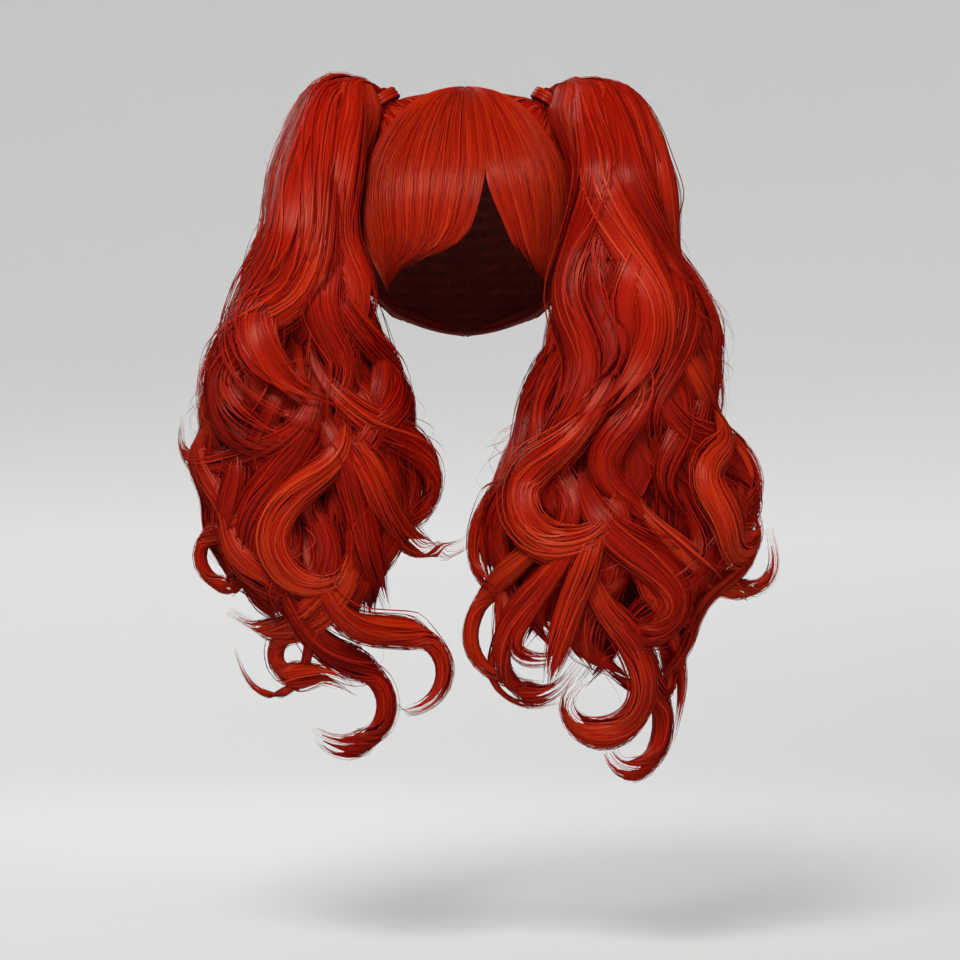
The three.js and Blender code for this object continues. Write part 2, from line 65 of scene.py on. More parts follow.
def table_curve(keys, values, at):
    """A smooth curve through rows of values: a cubic between each pair of rows, whose slope at a row
    is half the step between the rows on either side of it."""
    keys = np.asarray(keys, float)
    values = np.asarray(values, float)
    last = len(keys) - 1
    i = np.clip(np.searchsorted(keys, at, side="right") - 1, 0, last - 1)
    t = np.clip((at - keys[i]) / (keys[i + 1] - keys[i]), 0, 1)
    t = t.reshape(t.shape + (1,) * (values.ndim - 1))
    here, there = values[i], values[i + 1]
    rise = (there - values[np.maximum(i - 1, 0)]) / 2
    next_rise = (values[np.minimum(i + 2, last)] - here) / 2
    swing = there - here
    return here + t * (rise + t * (3 * swing - 2 * rise - next_rise + t * (rise + next_rise - 2 * swing)))


def ease(value, low, high):
    """0 below low and 1 above high, with a smooth step between them."""
    t = np.clip((np.asarray(value, float) - low) / (high - low), 0, 1)
    return t * t * (3 - 2 * t)


def blend(start, end, share):
    """The value that lies a share of the way from start to end."""
    return start + (end - start) * share


def unit(vectors):
    """Vectors of length 1 that point the same ways."""
    return vectors / np.maximum(np.linalg.norm(vectors, axis=-1, keepdims=True), 1e-9)


def on_head(polar, azimuth, lift):
    """A point lifted off the oval head, by its angle down from the crown and its turn from the front."""
    down, turn = np.radians(polar), np.radians(azimuth)
    across = np.sin(down)
    x = (HEAD_HALF_WIDTH + lift) * across * np.sin(turn)
    y = -(HEAD_HALF_DEPTH + lift) * across * np.cos(turn)
    z = (CROWN_TO_WIDEST + lift) * np.cos(down) - CROWN_TO_WIDEST
    return np.stack(np.broadcast_arrays(x, y, z), axis=-1)


def hairline(azimuth):
    """The angle down from the crown at which the cap is cut off, the same on both sides."""
    return table_curve(HAIRLINE_AZIMUTHS, HAIRLINE_POLARS, np.abs(azimuth))


def loft(rings, tone, shade):
    """A closed solid through rings of points: quads between the rings and a fan on each end.
    If its volume comes out negative, its faces are turned round."""
    rows, columns = rings.shape[:2]
    points = np.concatenate([rings.reshape(-1, 3), rings[:1].mean(1), rings[-1:].mean(1)])
    i, j = np.meshgrid(np.arange(rows - 1), np.arange(columns), indexing="ij")
    a = (i * columns + j).ravel()
    b = (i * columns + (j + 1) % columns).ravel()
    quads = np.stack([a, b, b + columns, a + columns], 1)
    edge = np.arange(columns)
    next_edge = (edge + 1) % columns
    first, last = rows * columns, rows * columns + 1
    foot = (rows - 1) * columns
    fan = [np.stack([next_edge, edge, np.full(columns, first)], 1)]
    fan.append(np.stack([foot + edge, foot + next_edge, np.full(columns, last)], 1))
    tris = np.concatenate(fan)
    every = np.concatenate([quads[:, :3], quads[:, [0, 2, 3]], tris])
    p, q, r = (points[every[:, k]] for k in range(3))
    if np.einsum("ij,ij->i", p, np.cross(q, r)).sum() < 0:
        quads, tris = quads[:, ::-1], tris[:, ::-1]
    uv = np.stack([np.tile(edge / columns, rows), np.repeat(np.arange(rows) / rows, columns)], 1)
    uv = np.concatenate([uv, [[0.5, 0], [0.5, 1]]])
    tones = np.broadcast_to(np.asarray(tone, float), rings.shape[:2]).ravel()
    shades = np.broadcast_to(np.asarray(shade, float), rings.shape[:2]).ravel()
    return {
        "points": points,
        "quads": quads,
        "tris": tris,
        "uv": uv,
        "tone": np.concatenate([tones, tones[[0, -1]]]),
        "shade": np.concatenate([shades, shades[[0, -1]]]),
        "rim": np.zeros(len(points), int),
    }


def hang_mesh(name, parts, material, slot, *nodes):
    """Joins parts into one smooth mesh in metres, hangs it on the wig, and hides the solids it stands
    for. The slot is not used. An edge between two points of the same rim is left sharp."""
    starts = np.cumsum([0] + [len(part["points"]) for part in parts])
    points, uv, tone, shade, rim = (np.concatenate([part[k] for part in parts])
                                    for k in ("points", "uv", "tone", "shade", "rim"))
    quads, tris = (np.concatenate([part[k] + start for part, start in zip(parts, starts)])
                   for k in ("quads", "tris"))
    corners = np.concatenate([quads.ravel(), tris.ravel()]).astype(np.int32)
    sizes = np.repeat([4, 3], [len(quads), len(tris)])
    mesh = bpy.data.meshes.new(name)
    mesh.vertices.add(len(points))
    mesh.vertices.foreach_set("co", (points * MM).ravel())
    mesh.loops.add(len(corners))
    mesh.loops.foreach_set("vertex_index", corners)
    mesh.polygons.add(len(sizes))
    mesh.polygons.foreach_set("loop_start", (np.cumsum(sizes) - sizes).astype(np.int32))
    mesh.update(calc_edges=True)
    mesh.polygons.foreach_set("use_smooth", np.ones(len(sizes), bool))
    ends = np.empty(2 * len(mesh.edges), np.int32)
    mesh.edges.foreach_get("vertices", ends)
    rims = rim[ends.reshape(-1, 2)]
    sharp = (rims[:, 0] == rims[:, 1]) & (rims[:, 0] > 0)
    mesh.attributes.new("sharp_edge", "BOOLEAN", "EDGE").data.foreach_set("value", sharp)
    mesh.uv_layers.new(name="strand").uv.foreach_set("vector", uv[corners].ravel())
    mesh.attributes.new("tone", "FLOAT", "POINT").data.foreach_set("value", tone)
    mesh.attributes.new("shade", "FLOAT", "POINT").data.foreach_set("value", shade)
    mesh.materials.append(material)
    piece = bpy.data.objects.new(name, mesh)
    bpy.context.scene.collection.objects.link(piece)
    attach(piece, "root")
    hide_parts(*nodes)


def new_material(name):
    """A new material, its Principled shader, a function that adds a node with its inputs and settings,
    and one that fills a node's inputs, linking each whose value is a socket."""
    material = bpy.data.materials.new(name)
    material.use_nodes = True
    tree = material.node_tree
    shader = tree.nodes["Principled BSDF"]

    def add(kind, inputs, **settings):
        node = tree.nodes.new(kind)
        for key, value in settings.items():
            setattr(node, key, value)
        wire(node, inputs)
        return node

    def wire(node, inputs):
        for key, value in inputs.items():
            if isinstance(value, bpy.types.NodeSocket):
                tree.links.new(value, node.inputs[key])
            else:
                node.inputs[key].default_value = value

    return material, shader, add, wire


def net_material():
    """Knitted net: the borders of small cells stand up as threads, and the sewn rows, where the tone
    is high, are lighter and smoother."""
    material, shader, add, wire = new_material("cap_net")
    place = add("ShaderNodeTexCoord", {}).outputs["Object"]
    cells = add("ShaderNodeTexVoronoi", {"Vector": place, "Scale": NET_CELLS}, feature="DISTANCE_TO_EDGE")
    thread = add("ShaderNodeMapRange", {"Value": cells.outputs["Distance"], 1: 0.04, 2: 0.16, 3: 1, 4: 0})
    row = add("ShaderNodeAttribute", {}, attribute_name="tone").outputs["Fac"]
    raised = add("ShaderNodeMath", {0: thread.outputs[0], 1: row}, operation="MAXIMUM").outputs[0]
    shades = add("ShaderNodeMix", {"Factor": raised, "A": NET_DARK, "B": NET_LIGHT}, data_type="RGBA")
    bump = add("ShaderNodeBump", {"Height": raised, "Strength": 0.5, "Distance": 0.0004})
    wire(shader, {"Base Color": shades.outputs[2], "Normal": bump.outputs[0], "Roughness": 0.75})
    return material


azimuths = np.linspace(-180, 180, CAP_COLUMNS, endpoint=False)
rim_polars = hairline(azimuths)
polars = np.linspace(0, 1, CAP_ROWS + 1)[1:, None] * rim_polars
in_band = ease(polars, rim_polars - RIM_BAND - RIM_STEP, rim_polars - RIM_BAND)
weft = (0.5 + 0.5 * np.cos(2 * np.pi * polars / WEFT_PITCH)) ** WEFT_SHARPNESS * (1 - in_band)
outside = on_head(polars, azimuths, CAP_WALL)
inside = on_head(polars, azimuths, -WEFT_RISE * weft - RIM_RISE * in_band)
sewn = np.maximum(weft, RIM_TONE * in_band)
cap_part = loft(np.concatenate([outside, inside[::-1]]), np.concatenate([sewn, sewn[::-1]]), 1)
hang_mesh("cap_net", [cap_part], net_material(), "cap_net", "cap")


# Side hair
# Each half of the head has its hair sewn along the hairline and the back parting and combed to the
# tie, where it is drawn up into a mound. Red synthetic hair: fine glossy strands over a dense backing.
HAIR_LIFT = 2.55
SIDES = {"left": -1, "right": 1}
CROWN_POLAR = 3.0
CROWN_RISE = 3.0
CROWN_FADES = (15, 55)
SIDE_FRONT, SIDE_BACK = 82.0, 179.6
SIDE_THICKNESS = 5.5
SIDE_RIDGE = 0.9
SEAT_AZIMUTH, SEAT_POLAR = 98.0, 36.0
MOUND_RISE, MOUND_SPREAD = 11.5, 13.0
COMB_END = 3.5
# How many degrees of the way to the tie it takes to rise from the scalp to its full thickness.
COMB_RISE = 9.0
COMB_TUCK = 9.0
COMB_STEPS = 15
# The edge that the strips start from, turn and angle down: from the crown down behind the fringe, along
# the hairline, up the back parting and over the crown.
COMB_FRONT = SIDE_FRONT - COMB_TUCK
COMB_EDGE = [
    (COMB_FRONT, CROWN_POLAR), (COMB_FRONT, 40), (COMB_FRONT, 75), (COMB_FRONT, 104),
    (100, 101), (130, 118), (155, 123), (SIDE_BACK, 127),
    (SIDE_BACK, 95), (SIDE_BACK, 62), (SIDE_BACK, 30), (SIDE_BACK, CROWN_POLAR), (110, CROWN_POLAR),
]
SIDE_TONES = (0.25, 0.75)
SIDE_SEED = 12
# HAIR_DARK is the dark end of the hair's tones and also the colour that painted shade goes to.
HAIR_DARK = (0.095, 0.0009, 0.0003, 1)
HAIR_MIDDLE = (0.335, 0.0062, 0.0008, 1)
HAIR_BRIGHT = (0.560, 0.0470, 0.0090, 1)
HAIR_GLOSS = (1.0, 0.60, 0.44, 1)
DEEP_ROUGHNESS = 0.55
# Streaks of colour: their size across the hair and along it, and how far they swing the tone.
HAIR_STREAKS = [(0.75, 80, 0.17), (2.4, 110, 0.14)]
GROOVE_SCALE = (1.1, 0.015, 1)
# How far each strip's streaks are shifted across and along it, so that neighbours differ.
STREAK_SHIFT = (37.0, 11.3)
# Layers of hair from the backing outwards: how many strips, points across each, its share of the
# spacing, its crest, and the level of the hair's thickness it lies at.
COMB_LAYERS = [(56, 5, 1.6, 0.2, 0.78), (300, 3, 0.8, 0.22, 0.97)]


def hair_material():
    """Glossy red fibre. Each strip's tone and noises drawn out along it pick the colour from dark to
    bright; its shade is painted shade, which darkens towards the dark red and dulls what lies deep; and
    fine grooves run along it. The gloss is stretched across the hair, as it is on real strands."""
    material, shader, add, wire = new_material("red_hair")
    tone = add("ShaderNodeAttribute", {}, attribute_name="tone").outputs["Fac"]
    shade = add("ShaderNodeAttribute", {}, attribute_name="shade").outputs["Fac"]
    strand = add("ShaderNodeUVMap", {}, uv_map="strand").outputs[0]
    level = tone
    for across, along, swing in HAIR_STREAKS:
        drawn = add("ShaderNodeMapping", {"Vector": strand, "Scale": (1 / across, 1 / along, 1)}).outputs[0]
        streak = add("ShaderNodeTexNoise", {"Vector": drawn, "Scale": 1.0, "Detail": 2}).outputs[0]
        swung = add("ShaderNodeMapRange", {"Value": streak, 1: 0.3, 2: 0.7, 3: -swing, 4: swing}).outputs[0]
        level = add("ShaderNodeMath", {0: level, 1: swung}, operation="ADD").outputs[0]
    ramp = add("ShaderNodeValToRGB", {"Fac": level})
    ramp.color_ramp.elements.new(0.5).color = HAIR_MIDDLE
    ramp.color_ramp.elements[0].color = HAIR_DARK
    ramp.color_ramp.elements[2].color = HAIR_BRIGHT
    # Painted shade: where the shade attribute is low, the colour is drawn to HAIR_DARK.
    deep = add("ShaderNodeMix", {"Factor": shade, "A": HAIR_DARK, "B": ramp.outputs[0]}, data_type="RGBA")
    drawn = add("ShaderNodeMapping", {"Vector": strand, "Scale": GROOVE_SCALE}).outputs[0]
    groove = add("ShaderNodeTexNoise", {"Vector": drawn, "Scale": 1.0, "Detail": 3}).outputs[0]
    bump = add("ShaderNodeBump", {"Height": groove, "Strength": 0.65, "Distance": 0.0006})
    rough = add("ShaderNodeMapRange", {"Value": groove, 1: 0.3, 2: 0.7, 3: 0.50, 4: 0.27}).outputs[0]
    dull = add("ShaderNodeMix", {"Factor": shade, "A": DEEP_ROUGHNESS, "B": rough}).outputs[0]
    lay = add("ShaderNodeTangent", {}, direction_type="UV_MAP", uv_map="strand")
    wire(shader, {"Base Color": deep.outputs[2], "Normal": bump.outputs[0], "Tangent": lay.outputs[0],
                  "Roughness": dull, "Anisotropic": 0.7, "IOR": 1.32, "Specular Tint": HAIR_GLOSS})
    return material


red_hair = hair_material()


def strips(rows, tone, shade):
    """Closed strips of hair. rows[strip, step, across] are the points of their upper faces, each is
    closed underneath by one face from edge to edge, and its ends are fans."""
    count, steps, across = rows.shape[:3]
    i, j, k = np.meshgrid(np.arange(count), np.arange(steps - 1), np.arange(across), indexing="ij")
    a = ((i * steps + j) * across + k).ravel()
    b = ((i * steps + j) * across + (k + 1) % across).ravel()
    root = (np.arange(count) * steps * across)[:, None]
    tip = root + (steps - 1) * across
    fan = np.arange(1, across - 1)
    root_fan = np.stack([root + fan + 1, root + fan, root + 0 * fan], -1).reshape(-1, 3)
    tip_fan = np.stack([tip + 0 * fan, tip + fan, tip + fan + 1], -1).reshape(-1, 3)
    middle = rows[:, :, across // 2]
    length = np.cumsum(np.linalg.norm(np.diff(middle, axis=1, prepend=middle[:, :1]), axis=-1), axis=1)
    width = np.linalg.norm(rows[:, :, 0] - rows[:, :, -1], axis=-1).max(1)
    number = np.arange(count)[:, None, None]
    uv = np.empty((count, steps, across, 2))
    uv[..., 0] = np.linspace(0, 1, across) * width[:, None, None] + STREAK_SHIFT[0] * number
    uv[..., 1] = length[..., None] + STREAK_SHIFT[1] * number
    rim = np.zeros((count, steps, across), int)
    rim[..., 0] = 1
    rim[..., -1] = 2
    return {
        "points": rows.reshape(-1, 3),
        "quads": np.stack([a, b, b + across, a + across], 1),
        "tris": np.concatenate([root_fan, tip_fan]),
        "uv": uv.reshape(-1, 2),
        "tone": np.repeat(np.broadcast_to(tone, (count, steps)).ravel(), across),
        "shade": np.repeat(np.broadcast_to(shade, (count, steps)).ravel(), across),
        "rim": rim.ravel(),
    }


def crowned(across, crest):
    """Places across a strip, from -1 to 1, and how far each stands proud: most in the middle."""
    place = np.linspace(-1, 1, across)[:, None]
    return place, crest * (1 - place * place)


def strands(paths, facing, width, tone, shade):
    """Fine half-round strands, one along each path."""
    along = unit(np.gradient(paths, axis=1))
    side = unit(np.cross(along, facing))
    out = np.cross(side, along)
    place, proud = crowned(3, 0.35)
    half = np.broadcast_to(width, paths.shape[:2])[..., None, None] / 2
    rows = paths[:, :, None] + half * (place * side[:, :, None] + proud * out[:, :, None])
    return strips(rows, tone, shade)


def crown_rise(polar):
    """How much higher the hair stands near the crown, fading out down the head."""
    return CROWN_RISE * (1 - ease(polar, *CROWN_FADES))


def mound(polar, azimuth):
    """How far the combed hair is drawn up round the tie's seat: a bell of the distance from it."""
    turned = (np.abs(azimuth) - SEAT_AZIMUTH) * np.sin(np.radians(polar))
    return MOUND_RISE * np.exp(-(np.hypot(polar - SEAT_POLAR, turned) / MOUND_SPREAD) ** 2)


def direction(polar, azimuth):
    """The unit vector towards a place on the round of the head."""
    down, turn = np.radians(polar), np.radians(azimuth)
    return np.stack([np.sin(down) * np.sin(turn), -np.sin(down) * np.cos(turn), np.cos(down)], -1)


def combed(count, across, share_wide, crest, level, rng):
    """Strips from the edge of a half of the head to its tie, each along the shortest way over the
    round of the head, at one level of the hair's thickness."""
    edge = np.array(COMB_EDGE, float)
    offset, proud = crowned(across, crest)
    share = np.linspace(0, 1, COMB_STEPS)
    taper = blend(0.6, 1, ease(share, 0, 0.08)) * blend(1, 0.6, ease(share, 0.6, 1))
    centre = (np.arange(count) + 0.5 + rng.uniform(-0.4, 0.4, count)) / count
    place = centre[:, None, None] + offset * taper * share_wide / count / 2
    place = np.clip(place, 0, 1) * (len(edge) - 1)
    start = direction(*(np.interp(place, np.arange(len(edge)), edge[:, k]) for k in (1, 0)))
    seat = direction(SEAT_POLAR, SEAT_AZIMUTH)
    angle = np.arccos(np.clip(start @ seat, -1, 1))
    share = share * np.maximum(1 - np.radians(COMB_END) / angle, 0.2)
    way = (np.sin((1 - share) * angle)[..., None] * start
           + np.sin(share * angle)[..., None] * seat) / np.sin(angle)[..., None]
    polar = np.degrees(np.arccos(np.clip(way[..., 2], -1, 1)))
    azimuth = np.degrees(np.arctan2(way[..., 0], -way[..., 1]))
    wander = rng.normal(0, 0.6, (count, 1, 1)) * np.sin(np.pi * share * rng.uniform(1, 3, (count, 1, 1)))
    risen = ease(np.degrees(share * angle), -2, COMB_RISE)
    thickness = (SIDE_THICKNESS + crown_rise(polar)) * level * risen + mound(polar, azimuth)
    lift = HAIR_LIFT + thickness + proud + rng.uniform(-0.25, 0.25, (count, 1, 1))
    return on_head(polar + wander, azimuth, lift).swapaxes(1, 2)


def side_shell():
    """The dense backing under the combed strands, a sheet half as thick as the hair. Its low tone
    and shade are painted shade, for the shadow under the strands.
    """
    across, down = np.meshgrid(np.linspace(0, 1, 32), np.linspace(0, 1, 26))
    azimuth = blend(SIDE_FRONT, SIDE_BACK, across)
    polar = blend(CROWN_POLAR, hairline(azimuth) - 1.5, down)
    inwards = np.minimum((SIDE_BACK - azimuth) * np.sin(np.radians(polar)), hairline(azimuth) - polar)
    full = 0.42 * SIDE_THICKNESS + 0.6 * crown_rise(polar)
    rise = full * ease(inwards, -2, COMB_RISE) + 0.92 * mound(polar, azimuth)
    outer = on_head(polar, azimuth, HAIR_LIFT + rise)
    inner = on_head(polar, azimuth, HAIR_LIFT)
    return loft(np.concatenate([outer, inner[:, ::-1]], 1), 0.25, 0.6)


MIRROR = np.array([-1, 1, 1])
for side, sign in SIDES.items():
    rng = np.random.default_rng(SIDE_SEED + sign)
    shell = side_shell()
    if sign < 0:
        shell["points"] = shell["points"] * MIRROR
        shell["quads"] = shell["quads"][:, ::-1]
        shell["tris"] = shell["tris"][:, ::-1]
    parts = [shell]
    for count, across, share_wide, crest, level in COMB_LAYERS:
        rows = combed(count, across, share_wide, crest, level, rng)
        # Deeper layers get a lower tone and shade: painted shade under the outer hair.
        tone = rng.uniform(*SIDE_TONES, (count, 1)) * blend(0.7, 1, level)
        if sign < 0:
            rows = (rows * MIRROR)[:, :, ::-1]
        parts.append(strips(rows, tone, blend(0.5, 1, level)))
    hang_mesh(f"side_hair_strands_{side}", parts, red_hair, "hair", f"side_hair_{side}")


# Fringe
# Two petals of straight smooth hair, sewn at the crown, which part above the brow and are cut to
# points at the temples. They stand a little off the brow and thin out towards their cut edge.
FRINGE_THICKNESS = 5.5
FRINGE_EDGE_THICKNESS = 1.4
# How far the fringe stands off the brow, over which angles down it comes to that, and over which turns
# it lies down again towards the temple.
BROW_STAND_OFF = 6.0
BROW_RISES = (35, 80)
TEMPLE_FADES = (30, 55)
FRINGE_STEPS = 19
FRINGE_START = -2.5
FRINGE_SHELL_SHORT = 17.0
FRINGE_INNER_SHORT = 9.0
FRINGE_END_VARIES = 4.0
FRINGE_SWAY = 0.010
FRINGE_TONES = (0.35, 0.75)
FRINGE_SEED = 23
# Layers of hair, each row as in COMB_LAYERS.
FRINGE_LAYERS = [(30, 5, 1.7, 0.4, 0.55), (36, 5, 1.2, 0.4, 0.78), (230, 3, 0.9, 0.22, 1.0)]
# How far one petal laps the other along the parting, and where that fades out above the brow.
PARTING_LAP = 1.6
LAP_FADES = (64, 71)
# The cut edge of each petal, turn and angle down, from the parting round by its point to the temple.
FRINGE_EDGES = {
    "left": [
        (9, 71.5), (7.5, 76), (2.5, 89), (-5, 95), (-14, 98), (-25, 99.5), (-32, 104), (-43, 110.5),
        (-58, 97), (-70, 82), (-80, 64),
    ],
    "right": [
        (11, 71.5), (12.5, 76), (17, 84.5), (22.5, 94), (30, 101), (38, 105.5), (46, 107),
        (56, 101), (69, 88), (80, 68),
    ],
}


def fringe_azimuth(side, share, polar):
    """Where a hair of a petal lies as it comes down. Its inmost hair follows the parting and then the
    petal's inner edge, its outmost one the outer edge, and the rest lie between them in proportion, so
    all of them sweep to the point."""
    rows = np.array(FRINGE_EDGES[side], float)
    point = rows[:, 1].argmax()
    lap = PARTING_LAP * np.sign(rows[0, 0] - rows[-1, 0]) * (1 - ease(polar, *LAP_FADES))
    edges = []
    for edge in (rows[:point + 1], rows[point:][::-1]):
        top = [edge[0, 0], CROWN_POLAR]
        azimuths, polars = np.vstack([top, edge]).T
        edges.append(table_curve(polars, azimuths, np.clip(polar, CROWN_POLAR, polars[-1])))
    return blend(edges[0] + lap, edges[1], blend(0, 0.94, share))


def fringe_place(azimuth, polar, along, level):
    """A point of the fringe at one level of its thickness, standing off the brow."""
    off_temple = 1 - ease(np.abs(azimuth), *TEMPLE_FADES)
    stand_off = BROW_STAND_OFF * ease(polar, *BROW_RISES) * off_temple
    full = FRINGE_THICKNESS + crown_rise(polar)
    thickness = blend(full, FRINGE_EDGE_THICKNESS, ease(along, 0.6, 1))
    return on_head(polar, azimuth, HAIR_LIFT + stand_off + level * thickness)


def fringe_strips(side, count, across, share_wide, crest, level, rng):
    """Strips of a petal from the crown to its point. Those nearest the parting end a little higher,
    and each end lies a little above its neighbour's or below it."""
    point = max(row[1] for row in FRINGE_EDGES[side])
    along = np.linspace(0, 1, FRINGE_STEPS)
    taper = blend(1, 0.15 if across == 3 else 0.5, ease(along, 0.8, 1))
    offset, proud = crowned(across, crest)
    centre = ((np.arange(count) + 0.5 + rng.uniform(-0.45, 0.45, count)) / count)[:, None, None]
    sway = rng.normal(0, FRINGE_SWAY, (count, 1, 1))
    sway = sway * np.sin(np.pi * along * rng.uniform(0.7, 1.8, (count, 1, 1)))
    place = np.clip(centre + sway + offset * taper * share_wide / count / 2, 0, 1)
    reach = point - FRINGE_INNER_SHORT * (1 - ease(centre, 0, 0.32))
    reach = reach - np.abs(rng.normal(0, FRINGE_END_VARIES, (count, 1, 1)))
    polar = blend(FRINGE_START, reach, along)
    proud = proud * ease(along, 0.04, 0.22) / FRINGE_THICKNESS
    height = level + rng.uniform(-0.08, 0.08, (count, 1, 1)) + proud
    rows = fringe_place(fringe_azimuth(side, place, polar), polar, along, height).swapaxes(1, 2)
    return rows if side == "right" else rows[:, :, ::-1]


def fringe_shell(side):
    """The backing under the strips, which stops short of the petal's edges and point. Its low tone and
    shade are painted shade, for the shadow under the strips.
    """
    point = max(row[1] for row in FRINGE_EDGES[side])
    across, along = np.meshgrid(np.linspace(0.06, 0.94, 20), np.linspace(0, 1, 20))
    polar = blend(CROWN_POLAR, point - FRINGE_SHELL_SHORT, along)
    azimuth = fringe_azimuth(side, across, polar)
    outer = fringe_place(azimuth, polar, along, 0.4)
    inner = fringe_place(azimuth, polar, along, 0.02)
    return loft(np.concatenate([outer, inner[:, ::-1]], 1), 0.3, 0.4)


for side in SIDES:
    rng = np.random.default_rng(FRINGE_SEED)
    parts = [fringe_shell(side)]
    for count, across, share_wide, crest, level in FRINGE_LAYERS:
        rows = fringe_strips(side, count, across, share_wide, crest, level, rng)
        # Deeper layers get a lower tone and shade: painted shade under the outer hair.
        tone = rng.uniform(*FRINGE_TONES, (count, 1)) * blend(0.75, 1, level)
        parts.append(strips(rows, tone, blend(0.6, 1, level)))
    hang_mesh(f"fringe_strands_{side}", parts, red_hair, "hair", f"fringe_{side}")


# Ties
# A lock of the same hair, wound flat round the root of each tail in three turns, with its ends
# tucked in.
GAP = 0.35
TIE_INNER = 10.2
TIE_BAND = 1.7
TIE_TURNS = 3
TIE_PITCH = 2.7
TIE_TOP = GAP + TIE_PITCH * TIE_TURNS
TIE_STRANDS = 12
TIE_STRAND_WIDTH = 1.1
TIE_STEPS = 30
TIE_TUCK = 1.4
TIE_TONES = (0.25, 0.7)
TIE_SEED = 31


def tie_seat(side):
    """Where a tie sits on its mound, and the way it points: straight up from the round of the head."""
    hair = SIDE_THICKNESS + SIDE_RIDGE + crown_rise(SEAT_POLAR)
    lift = HAIR_LIFT + hair + MOUND_RISE
    foot, higher = (on_head(SEAT_POLAR, SIDES[side] * SEAT_AZIMUTH, lift + more) for more in (0, 1))
    return foot, unit(higher - foot)


def wound(side, rng):
    """Strands wound once round the root in each turn. Each keeps its own place round the turn's
    rounded section and dips inwards at its ends."""
    foot, axis = tie_seat(side)
    across = unit(np.cross(axis, [0, 1, 0]))
    deep = np.cross(axis, across)
    turn, place = np.meshgrid(np.arange(TIE_TURNS), np.arange(TIE_STRANDS), indexing="ij")
    angle = (-90 + 180 * (place.ravel() + 0.5) / TIE_STRANDS + rng.uniform(-5, 5, turn.size))[:, None]
    angle = np.radians(angle)
    along = np.linspace(0, 1, TIE_STEPS)
    sweep = 2 * np.pi * (1.1 * along + rng.random((turn.size, 1)))
    tucked = TIE_TUCK * (1 - ease(np.minimum(along, 1 - along), 0, 0.08))
    wave = 0.25 * np.sin(3 * sweep + rng.uniform(0, 6, (turn.size, 1)))
    radius = TIE_INNER + TIE_BAND * (1 + np.cos(angle)) - tucked
    height = GAP + TIE_PITCH * (turn.ravel()[:, None] + 0.5 + 0.46 * np.sin(angle)) + wave
    radial = np.cos(sweep)[..., None] * across + np.sin(sweep)[..., None] * deep
    paths = foot + radial * radius[..., None] + axis * height[..., None]
    facing = radial * np.cos(angle)[..., None] + axis * np.sin(angle)[..., None]
    return paths, facing


for side in SIDES:
    rng = np.random.default_rng(TIE_SEED)
    paths, facing = wound(side, rng)
    tone = rng.uniform(*TIE_TONES, (len(paths), 1))
    # The shade of 0.9 darkens the winding a little: painted shade.
    parts = [strands(paths, facing, TIE_STRAND_WIDTH, tone, 0.9)]
    hang_mesh(f"tie_winding_{side}", parts, red_hair, "wrap", f"tie_{side}")


# Pigtails
# Each tail springs up through its tie, folds over and falls beside the face: smooth at the top, then
# breaking into heavy curls. It is all loose hair, so its body is only a dense heart of strands, coloured
# dark red as painted shade.
# Level sections of each tail: their height, their inner and outer edges measured from the middle of the
# head, and their front and back.
TRUNKS = {
    "left": [
        (21, 74, 93, -8, 16),
        (12, 66, 109, -25, 30),
        (-5, 60, 121, -38, 38),
        (-30, 65, 127, -54, 42),
        (-70, 73, 128, -72, 42),
        (-110, 68, 133, -84, 38),
        (-150, 57, 153, -90, 36),
        (-185, 52, 174, -92, 35),
        (-220, 38, 180, -93, 34),
        (-255, 30, 178, -94, 31),
        (-290, 40, 173, -94, 25),
        (-325, 55, 162, -91, 16),
        (-355, 62, 142, -84, 2),
        (-385, 66, 120, -72, -14),
        (-404, 78, 104, -58, -30),
    ],
    "right": [
        (21, 75, 98, -8, 16),
        (12, 66, 115, -25, 30),
        (-5, 60, 128, -38, 38),
        (-30, 67, 135, -54, 42),
        (-70, 76, 137, -72, 42),
        (-110, 66, 143, -84, 38),
        (-150, 57, 169, -90, 36),
        (-185, 56, 174, -92, 35),
        (-220, 40, 172, -94, 34),
        (-255, 24, 182, -97, 33),
        (-290, 17, 195, -99, 30),
        (-325, 15, 184, -98, 22),
        (-360, 18, 154, -91, 8),
        (-395, 30, 138, -80, -8),
        (-425, 58, 130, -68, -22),
        (-446, 84, 116, -54, -36),
    ],
}
# Where the loose hair parts in front and shows the dark inside, shaded by the hair round it and by the
# heart's painted shade: a groove from one point to another, x and z seen from the front, and its width.
HOLLOWS = {
    "left": [(-130, -168, -94, -206, 12), (-94, -254, -92, -270, 9)],
    "right": [(70, -318, 76, -340, 11)],
}
HOLLOW_DEPTH = 17.0
HEART_SHRINK = 7.0
HEART_FOOT = 72.0
HEART_TAPER = 70.0
HEART_RINGS, HEART_SIDES = 44, 32
HEART_STREAKS = (520, 520, 20)
# The plug of hair inside a tie: heights over the tie's seat, and its share of its radius there.
ROOT_RADIUS = 9.7
ROOT_SIDES = 24
ROOT_PROFILE = [(-9, 1), (0, 1), (TIE_TOP, 1), (TIE_TOP + 3, 0.85), (TIE_TOP + 5, 0.4)]
# Hair comes up inside its tie, from this far below the tie's top to this far above it, turns outwards
# over it by so much, and goes by way of these two heights over the top of the tail.
KNOT_BELOW, KNOT_ABOVE, KNOT_OUT = 4.0, 5.0, 7.0
DOME_Z, SHOULDER_Z = 13.0, -8.0
WEARER_NECK_RADIUS, WEARER_NECK_Y, WEARER_NECK_TOP, WEARER_NECK_BLEND = 52.0, 14.0, -190.0, 40.0
HAIR_CLEARANCE = 9.8
LOCK_SWAY = 4.0
LOCK_DEPTH = 0.6
LOCK_FULLNESS = 1.15
CURVE_SMOOTHINGS = 3
